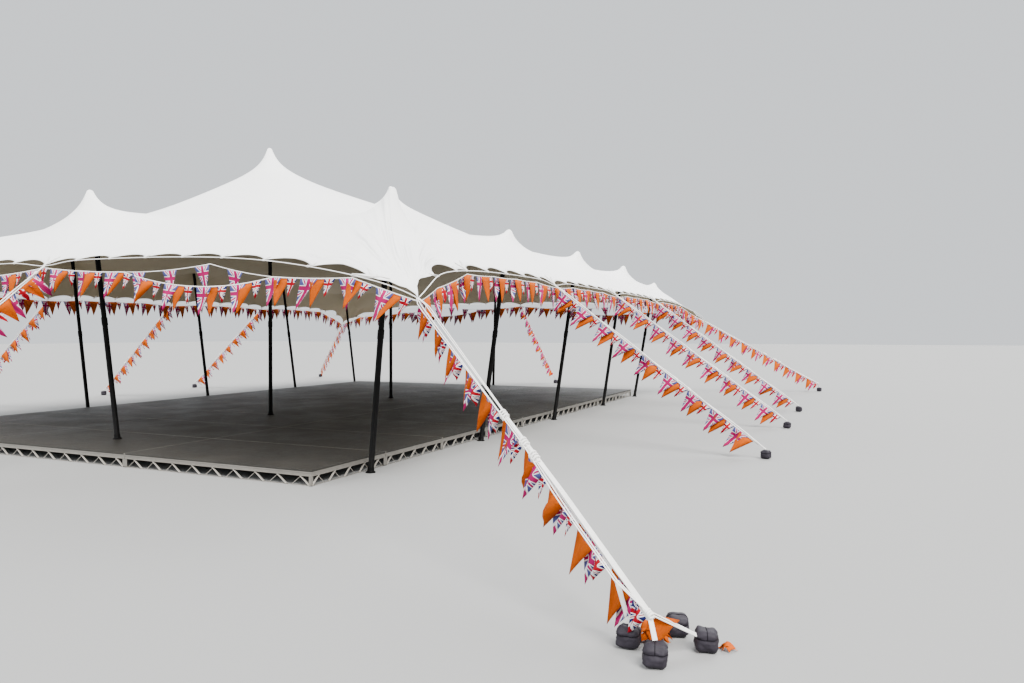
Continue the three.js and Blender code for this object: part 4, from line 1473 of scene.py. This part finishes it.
class Bunting:
    """Pennants hung from a tape along a line, gathered into one piece."""

    def __init__(self, seed, pitch):
        self.bm = bmesh.new()
        self.draw = random.Random(seed)
        self.pitch = pitch
        self.area = 0.0
        self.run = 0.0

    def cloth(self, across, down, kind, lay):
        """A grid of cloth. lay takes a point's shares of the way across and down, and gives its
        place and its UV."""
        uv = self.bm.loops.layers.uv.verify()
        made = bmesh.ops.create_grid(
            self.bm, x_segments=across, y_segments=down, size=1, calc_uvs=False)["verts"]
        cut = {}
        for vert in made:
            vert.co, cut[vert] = lay((vert.co.x + 1) / 2, (1 - vert.co.y) / 2)
        for face in {f for vert in made for f in vert.link_faces}:
            face.material_index = kind
            for loop in face.loops:
                loop[uv].uv = cut[loop.vert]

    def tape(self, line, width):
        """The flat tape that the pennants are sewn to."""
        last = len(line) - 1
        step = (line[1] - line[0]).length

        def lay(u, v):
            k, high = round(u * last), v < 0.5
            return line[k] + UP * (width / 2 if high else -width / 2), (int(high), k * step)
        self.cloth(last, 1, TAPE, lay)
        run = sum((q - p).length for p, q in zip(line, line[1:]))
        self.run += run
        self.area += run * width

    def pennants(self, line, kind, start=0.0, lay=0.0, lean=0.0):
        """Pennants of one kind along a line, one to each group, and set off it by lay. They end
        where they would reach the ground."""
        HANG = 0.9
        b = settings().bunting
        table = np.array([p[:] for p in line])
        run = run_of(table)

        def at(s):
            return Vector(on_line(table, run, s))
        size = b.small if kind == SMALL else 1.0
        width, drop = b.width * size, b.drop * size
        s = start
        while s + width < run[-1] and at(s + width / 2).z > drop * HANG:
            self.pennant(at, s, width, drop, kind, lay, lean)
            s += self.pitch

    def threes(self, line, order, side=1, lean=0.0):
        """Groups of a pale, an orange and a small bold pennant that lap over each other."""
        LAPS = (0.05, 0.28, 0.695)
        LAYS = {PALE: -0.005, ORANGE: 0.006, SMALL: -0.012}
        for kind, start in zip(order, LAPS):
            self.pennants(line, kind, start * self.pitch, side * LAYS[kind], lean)

    def pennant(self, at, s, width, drop, kind, lay=0.0, lean=0.0):
        """One cloth triangle: it hangs from the tape, swings a little and curls at its edges."""
        ACROSS, DOWN = 4, 6
        SQUARE, REST, SEWN = 1.1, 0.006, 0.004
        CURL, FULL, SOFT = 0.012, 1.15, 0.8
        WAVE, WAVES, FOLD = 0.008, 1.3, 0.044
        between = self.draw.uniform
        level = (at(s + width) - at(s)).normalized()
        out = UP.cross(level).normalized()
        swing = out * between(-0.15, 0.15) * drop
        swing -= level * drop * (lean * between(0.2, 1.5) + between(-0.08, 0.12))
        curl = between(-0.03, 0.03) + CURL * (1 if kind % 2 else -1)
        twist = between(-0.5, 0.5)
        down = (level * level.z * SQUARE - UP).normalized()
        tip = at(s + width / 2) + down * drop * between(0.94, 1.04) + swing
        tip.z = max(tip.z, REST)

        def hang(u, v):
            top = at(s + width * u) - UP * SEWN + out * lay
            belly = curl * math.sin(math.pi * u) * math.sin(math.pi * min(1, v * FULL)) ** SOFT
            wave = WAVE * math.sin(math.tau * (u * WAVES + twist)) * v * (1 - v) * 4
            fold = abs(level.z) * FOLD * math.sin(math.tau * u) * math.sin(math.pi * v)
            return top.lerp(tip, v) + out * (belly + wave + fold), (u, v)
        self.cloth(ACROSS, DOWN, kind, hang)
        self.area += width * drop / 2

    def heap(self, centre, reach, height, count):
        """A pile of slack orange pennants on the ground, turned every way and crumpled."""
        CUTS, LAYER, LOWEST, HIGHEST = 12, 0.003, 0.002, 1.2
        CORNERS = ((-0.9, 0.95), (0.9, 0.95), (math.pi, 1.15))
        SWELLS, FOLDS, DRIFTS = 24, 60, 34
        crumple = reach * 0.2
        for n in range(count):
            turn = math.tau * n / count + self.draw.uniform(-0.5, 0.5)
            left, right, tip = (
                Vector((math.cos(turn + swing), math.sin(turn + swing), 0)) * reach * far
                for swing, far in CORNERS)

            def crumpled(u, v):
                flat = left.lerp(right, u).lerp(tip, v)
                seed = flat + centre + UP * n
                swell = 0.7 + noise.noise(seed * SWELLS)
                rise = height * max(0.0, 1 - (flat.length / reach) ** 2) * swell
                fold = crumple * (0.4 - abs(noise.noise(seed * FOLDS)))
                place = centre + flat + noise.noise_vector(seed * DRIFTS) * crumple
                place.z = max(LOWEST, min(height * HIGHEST, rise + fold)) + LAYER * n
                return place, (0.5, 0.5)
            self.cloth(CUTS, CUTS, ORANGE, crumpled)
            self.area += (right - left).length * (tip - left.lerp(right, 0.5)).length / 2

    def finished(self, name, finishes, stands_for=()):
        """Makes the piece of cloth, and works out what it measures laid flat: its tape by a
        pennant's drop.
        """
        MEET, THICK = 0.0002, 0.0008
        bmesh.ops.remove_doubles(self.bm, verts=self.bm.verts, dist=MEET)
        piece = piece_from(self.bm, name, *finishes)
        skin = piece.modifiers.new("cloth thickness", "SOLIDIFY")
        skin.thickness = THICK
        skin.offset = 0
        if stands_for:
            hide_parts(*stands_for)
        high = max(self.area / self.run, settings().bunting.drop)


def bunting_finishes():
    """The finishes of a string, in the order of ORANGE, PALE, SMALL and TAPE."""
    b = settings().bunting
    return [
        plain_cloth("pennant_orange", b.orange, dirt=0.86),
        crossed_cloth("pennant_pale", b.field, b.cross, (0.080, 0.045), (0.128, 0.096)),
        crossed_cloth("pennant_small", b.navy, b.red, (0.075, 0.022), (0.150, 0.105)),
        webbing_finish(),
    ]


def swag(hooks, sag):
    """A line that hangs from hook to hook, and sags by a share of each bay."""
    STEP = 0.14
    line = [Vector(hooks[0])]
    for before, after in zip(hooks, hooks[1:]):
        bay = (after - before).length
        steps = max(2, round(bay / STEP))
        for k in range(1, steps + 1):
            t = k / steps
            line.append(before.lerp(after, t) - UP * sag * bay * 4 * t * (1 - t))
    return line


class BuntingOperator(bpy.types.Operator):
    """Hangs the strings of pennants along the edges and down every guy"""
    bl_idname = "stretch_tent.bunting"
    bl_label = "Bunting"

    def execute(self, context):
        GUY_SEED, CORNER_SEED, ABOVE_SEAT = 40, 60, 0.10
        finishes = bunting_finishes()
        for sy, which in ENDS:
            self.end_strings(sy).finished(f"pennants_{which}", finishes, [f"bunting_{which}"])
        for sx, hand in SIDES:
            self.side_string(sx).finished(f"pennants_{hand}", finishes, [f"bunting_{hand}"])
        for k, (name, start, seat) in enumerate(side_and_end_guys()):
            string = self.along_guy(start, seat, GUY_SEED + k, (PALE, ORANGE, SMALL), ABOVE_SEAT)
            string.finished(name.replace("guy", "pennants_guy"), finishes)
        for k, (name, corner, fork, seats) in enumerate(corner_guys()):
            string = self.along_guy(corner, fork, CORNER_SEED + k, (ORANGE, PALE, SMALL), 0.0)
            if len(seats) > 1:
                self.heaps(string, fork, seats[-1])
            string.finished(name.replace("guy", "pennants_guy"), finishes)
        return {"FINISHED"}

    def end_strings(self, sy):
        """A long string that sags between the ties, and a short one hooked up above each sag."""
        SEED = 11
        JOINS, HOOK = (0.30, 0.78), 0.59
        JOIN_DROP, HOOK_DROP, TIE_DROP = 0.125, 0.050, 0.010
        TAUT, CLOSE, SLACK, UPPER = 0.006, 0.012, 0.060, 0.02
        TAPE_WIDE, UPPER_WIDE, UPPER_START, LEAN = 0.010, 0.007, 0.12, 0.35
        string = Bunting(SEED + sy, settings().bunting.pitch)
        left, right = (self.corner(sx, sy) for sx in (-1, 1))
        ties, _ = edge_ties()
        line = swag([left, self.below(1, sy, ties[0], TIE_DROP)], TAUT)
        for before, after in zip(ties, ties[1:]):
            start, first, hook, last, end = (
                self.below(1, sy, before + (after - before) * share, drop) for share, drop in (
                    (0, TIE_DROP), (JOINS[0], JOIN_DROP), (HOOK, HOOK_DROP),
                    (JOINS[1], JOIN_DROP), (1, TIE_DROP)))
            for stretch, sag in (((start, first), CLOSE), ((first, last), SLACK),
                                 ((last, end), CLOSE)):
                line += swag(stretch, sag)[1:]
            upper = swag([first, hook, last], UPPER)
            string.tape(upper, UPPER_WIDE)
            string.pennants(upper, PALE, UPPER_START)
        line += swag([self.below(1, sy, ties[-1], TIE_DROP), right], TAUT)[1:]
        string.tape(line, TAPE_WIDE)
        string.threes(line, (PALE, ORANGE, SMALL), -sy, LEAN)
        return string

    def side_string(self, sx):
        """The string along a long side, held close under the edge rope."""
        SEED = 23
        NEAR_CORNER, CORNER_DROP, TIE_DROP, BAY_DROP, HOOKS = 0.45, 0.085, 0.020, 0.032, 4
        SAG, TAPE_WIDE = 0.012, 0.008
        c = settings().canopy
        string = Bunting(SEED + sx, settings().bunting.pitch)
        front, back = (self.corner(sx, sy) for sy in (-1, 1))
        _, ties = edge_ties()
        hooks = [front, self.below(0, sx, NEAR_CORNER - c.half_length, CORNER_DROP)]
        for before, after in zip(ties, ties[1:]):
            hooks += [self.below(0, sx, before + (after - before) * k / HOOKS,
                                 BAY_DROP if k else TIE_DROP) for k in range(HOOKS)]
        hooks += [self.below(0, sx, SIDE_TIE_Y, TIE_DROP),
                  self.below(0, sx, c.half_length - NEAR_CORNER, CORNER_DROP), back]
        line = swag(hooks, SAG)
        string.tape(line, TAPE_WIDE)
        string.threes(line, (PALE, ORANGE, SMALL), -1)
        return string

    def heaps(self, string, fork, seat):
        """Slack pennants between the covers: one behind a leg, a pile under it, and a scrap."""
        BEHIND, WIDE, DROP = 0.012, 0.16, 0.13
        sx, sy = math.copysign(1, fork.x), math.copysign(1, fork.y)
        leg = (seat - fork).normalized()
        behind = facing(1, -sy) * BEHIND
        string.pennant(lambda s: fork + leg * s + behind, 0.0, WIDE, DROP, ORANGE)
        for x, y, reach, height, count in ((7.365, 8.03, 0.080, 0.080, 6),
                                           (7.69, 8.01, 0.040, 0.036, 2)):
            string.heap(Vector((sx * x, sy * y, 0)), reach, height, count)

    def corner(self, sx, sy):
        """Where the strings reach the corner guy, just below the fabric's tip."""
        SHARE, DOWN = 0.012, 0.012
        corner, fork = next((corner, fork) for _, corner, fork, _ in corner_guys()
                            if corner.x * sx > 0 and corner.y * sy > 0)
        return corner.lerp(fork, SHARE) - UP * DOWN

    def below(self, axis, sign, value, drop):
        """A point under the edge rope, and a drop lower."""
        UNDER, OUT = 0.012, 0.004
        return rope_at(axis, sign, value) - UP * (drop + UNDER) + facing(axis, sign) * OUT

    def along_guy(self, start, end, seed, order, above_end):
        """Pennants in threes under a sloping guy."""
        FIRST, UNDER, POINTS, TAPE_WIDE = 0.07, 0.018, 14, 0.010
        string = Bunting(seed, settings().bunting.guy_pitch)
        last = (end - start).length - above_end
        along = (end - start).normalized()
        line = [start + along * s - UP * UNDER for s in np.linspace(FIRST, last, POINTS)]
        string.tape(line, TAPE_WIDE)
        string.threes(line, order)
        return string


class DeckOperator(bpy.types.Operator):
    """Lays the deck: coated boards, an aluminium rail round them, and the zigzag bracing"""
    bl_idname = "stretch_tent.deck"
    bl_label = "Deck"

    def execute(self, context):
        floors = [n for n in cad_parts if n.startswith("deck_floor")]
        lows, highs = zip(*(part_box(n) for n in floors))
        low, high = Vector(map(min, zip(*lows))), Vector(map(max, zip(*highs)))
        self.boards(low, high, floors)
        self.frame(low, high)
        return {"FINISHED"}

    WIDE, LONG = 3, 9
    BOARD, EDGE = 0.018, 0.001

    def boards(self, low, high, floors):
        """One board to each staging unit. It ends at a thin metal lip beside the next unit, and
        covers the rail along the outside."""
        LIP, BEVEL = 0.005, 0.0015
        size_x, size_y = (high.x - low.x) / self.WIDE, (high.y - low.y) / self.LONG
        gap = settings().deck.joint / 2
        bm = bmesh.new()
        lips = bmesh.new()
        for i in range(self.WIDE):
            for j in range(self.LONG):
                x, y = low.x + i * size_x, low.y + j * size_y
                inner = (i > 0, j > 0, i < self.WIDE - 1, j < self.LONG - 1)
                unit = (x, y, x + size_x, y + size_y)
                sides, inset = (
                    [at + (by if k < 2 else -by) * inner[k] for k, at in enumerate(unit)]
                    for by in (gap, gap + LIP))
                box_between(bm, (*inset[:2], high.z - self.BOARD), (*inset[2:], high.z), BEVEL)
                self.lip(lips, sides, inset, inner, high.z)
        piece = piece_from(bm, "deck_boards", ply_finish())
        sharpen(piece)
        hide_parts(*floors)
        rim = piece_from(lips, "deck_unit_frames", rail_finish())
        sharpen(rim)

    def lip(self, bm, sides, inset, inner, top):
        """The metal edge between a unit's board and the next unit."""
        LOW, DOWN = 0.05, 0.0006
        x0, y0, x1, y1 = sides
        a0, b0, a1, b1 = inset
        bars = (((x0, y0), (a0, y1)), ((a0, y0), (a1, b0)),
                ((a1, y0), (x1, y1)), ((a0, b1), (a1, y1)))
        for k, (low, high) in enumerate(bars):
            if inner[k]:
                box_between(bm, (*low, top - LOW), (*high, top - DOWN))

    def frame(self, low, high):
        """Rails with a groove in their face, zigzags under them, a bottom chord, and feet."""
        bm = bmesh.new()
        for axis, signs, count in ((0, (1, -1), self.LONG), (1, (-1, 1), self.WIDE)):
            start, end = low[1 - axis], high[1 - axis]
            unit = (end - start) / count
            for sign in signs:
                face = (high if sign > 0 else low)[axis]

                def spot(along, deep, z):
                    """A point of this edge: along it, in from its face, and its height."""
                    values = [0.0, 0.0, z]
                    values[axis] = face - sign * deep
                    values[1 - axis] = start + along
                    return Vector(values)
                for k in range(count):
                    self.rail(bm, spot, k * unit, unit, low.z, high.z - self.BOARD)
                    self.bracing(bm, spot, k * unit, unit, low.z, axis)
                for k in range(count + 1):
                    self.foot(bm, spot, k * unit, count * unit, low.z)
        bmesh.ops.recalc_face_normals(bm, faces=bm.faces)
        piece = piece_from(bm, "deck_rails", rail_finish(), brace_finish())
        sharpen(piece)
        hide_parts("deck_frame")

    def rail(self, bm, spot, at, unit, low, high):
        """An extrusion: its outer face is grooved between two lips."""
        GAP, DEEP, LIPS, GROOVE = 0.003, 0.030, 0.012, 0.004
        UNDER_BOARD, BEVEL = 0.001, 0.0012
        for z0, z1, front in ((low, low + LIPS, 0.0), (low + LIPS, high - LIPS, GROOVE),
                              (high - LIPS, high - UNDER_BOARD, 0.0)):
            box_between(bm, spot(at + GAP, front, z0), spot(at + unit - GAP, DEEP, z1), BEVEL)

    def bracing(self, bm, spot, at, unit, top, axis):
        """A zigzag whose broad bars lean one way in front, and thin ones the other way behind,
        on a chord that lies on the ground."""
        CHORD, CHORD_FRONT, CHORD_BACK = 0.006, 0.010, 0.028
        BROAD, THIN, FLAT, INTO_RAIL = (0.017, 0.010), (0.008, 0.034), 0.4, 0.002
        TOP, FEET = 0.5, (0.1, 0.9)
        box_between(bm, spot(at, CHORD_FRONT, 0), spot(at + unit, CHORD_BACK, CHORD), self.EDGE)
        count = max(1, round(unit / settings().deck.brace_pitch))
        step = unit / count
        for k in range(count):
            for (wide, deep), low in zip((BROAD, THIN), FEET[::-1] if axis else FEET):
                bar = [spot(at + (k + low) * step, deep, CHORD),
                       spot(at + (k + TOP) * step, deep, top + INTO_RAIL)]
                swept(bm, bar, wide, wide * FLAT, 4, up=UP, index=1)

    def foot(self, bm, spot, at, whole, top):
        """A flat upright plate with a foot that runs in under the deck."""
        HALF, FRONT, BACK, FOOT_BACK, FOOT = 0.032, 0.004, 0.009, 0.05, 0.008
        start, end = max(0.0, at - HALF), min(whole, at + HALF)
        for back, height in ((BACK, top), (FOOT_BACK, FOOT)):
            box_between(bm, spot(start, FRONT, 0), spot(end, back, height), self.EDGE)


class TentPanel(bpy.types.Panel):
    """Lists the tent's settings and its pieces"""
    bl_idname = "VIEW3D_PT_stretch_tent"
    bl_label = "Stretch tent"
    bl_space_type = "VIEW_3D"
    bl_region_type = "UI"
    bl_category = "Stretch tent"

    def draw(self, context):
        tent = settings()
        for key, title, operator in (
                ("stage", "Stage", StageOperator), ("canopy", "Canopy", CanopyOperator),
                ("rope", "Ropes", EdgeOperator), ("pole", "Poles", PolesOperator),
                ("rope", "Guys", GuysOperator), ("anchor", "Anchors", AnchorsOperator),
                ("bunting", "Bunting", BuntingOperator), ("deck", "Deck", DeckOperator)):
            box = self.layout.box()
            box.label(text=title)
            values = getattr(tent, key)
            for name in values.__annotations__:
                box.prop(values, name)
            box.operator(operator.bl_idname)


CLASSES = (
    CanopySettings, RopeSettings, BuntingSettings, PoleSettings, DeckSettings, AnchorSettings,
    StageSettings, TentSettings, StageOperator, CanopyOperator, EdgeOperator, PolesOperator,
    GuysOperator, AnchorsOperator, BuntingOperator, DeckOperator, TentPanel,
)


def register():
    for each in CLASSES:
        bpy.utils.register_class(each)
    bpy.types.Scene.stretch_tent = bpy.props.PointerProperty(type=TentSettings)


def unregister():
    del bpy.types.Scene.stretch_tent
    for each in reversed(CLASSES):
        bpy.utils.unregister_class(each)


def main():
    register()
    bpy.ops.stretch_tent.stage()
    bpy.ops.stretch_tent.deck()
    bpy.ops.stretch_tent.poles()
    bpy.ops.stretch_tent.canopy()
    bpy.ops.stretch_tent.edge()
    bpy.ops.stretch_tent.guys()
    bpy.ops.stretch_tent.anchors()
    bpy.ops.stretch_tent.bunting()


if __name__ == "__main__":
    main()
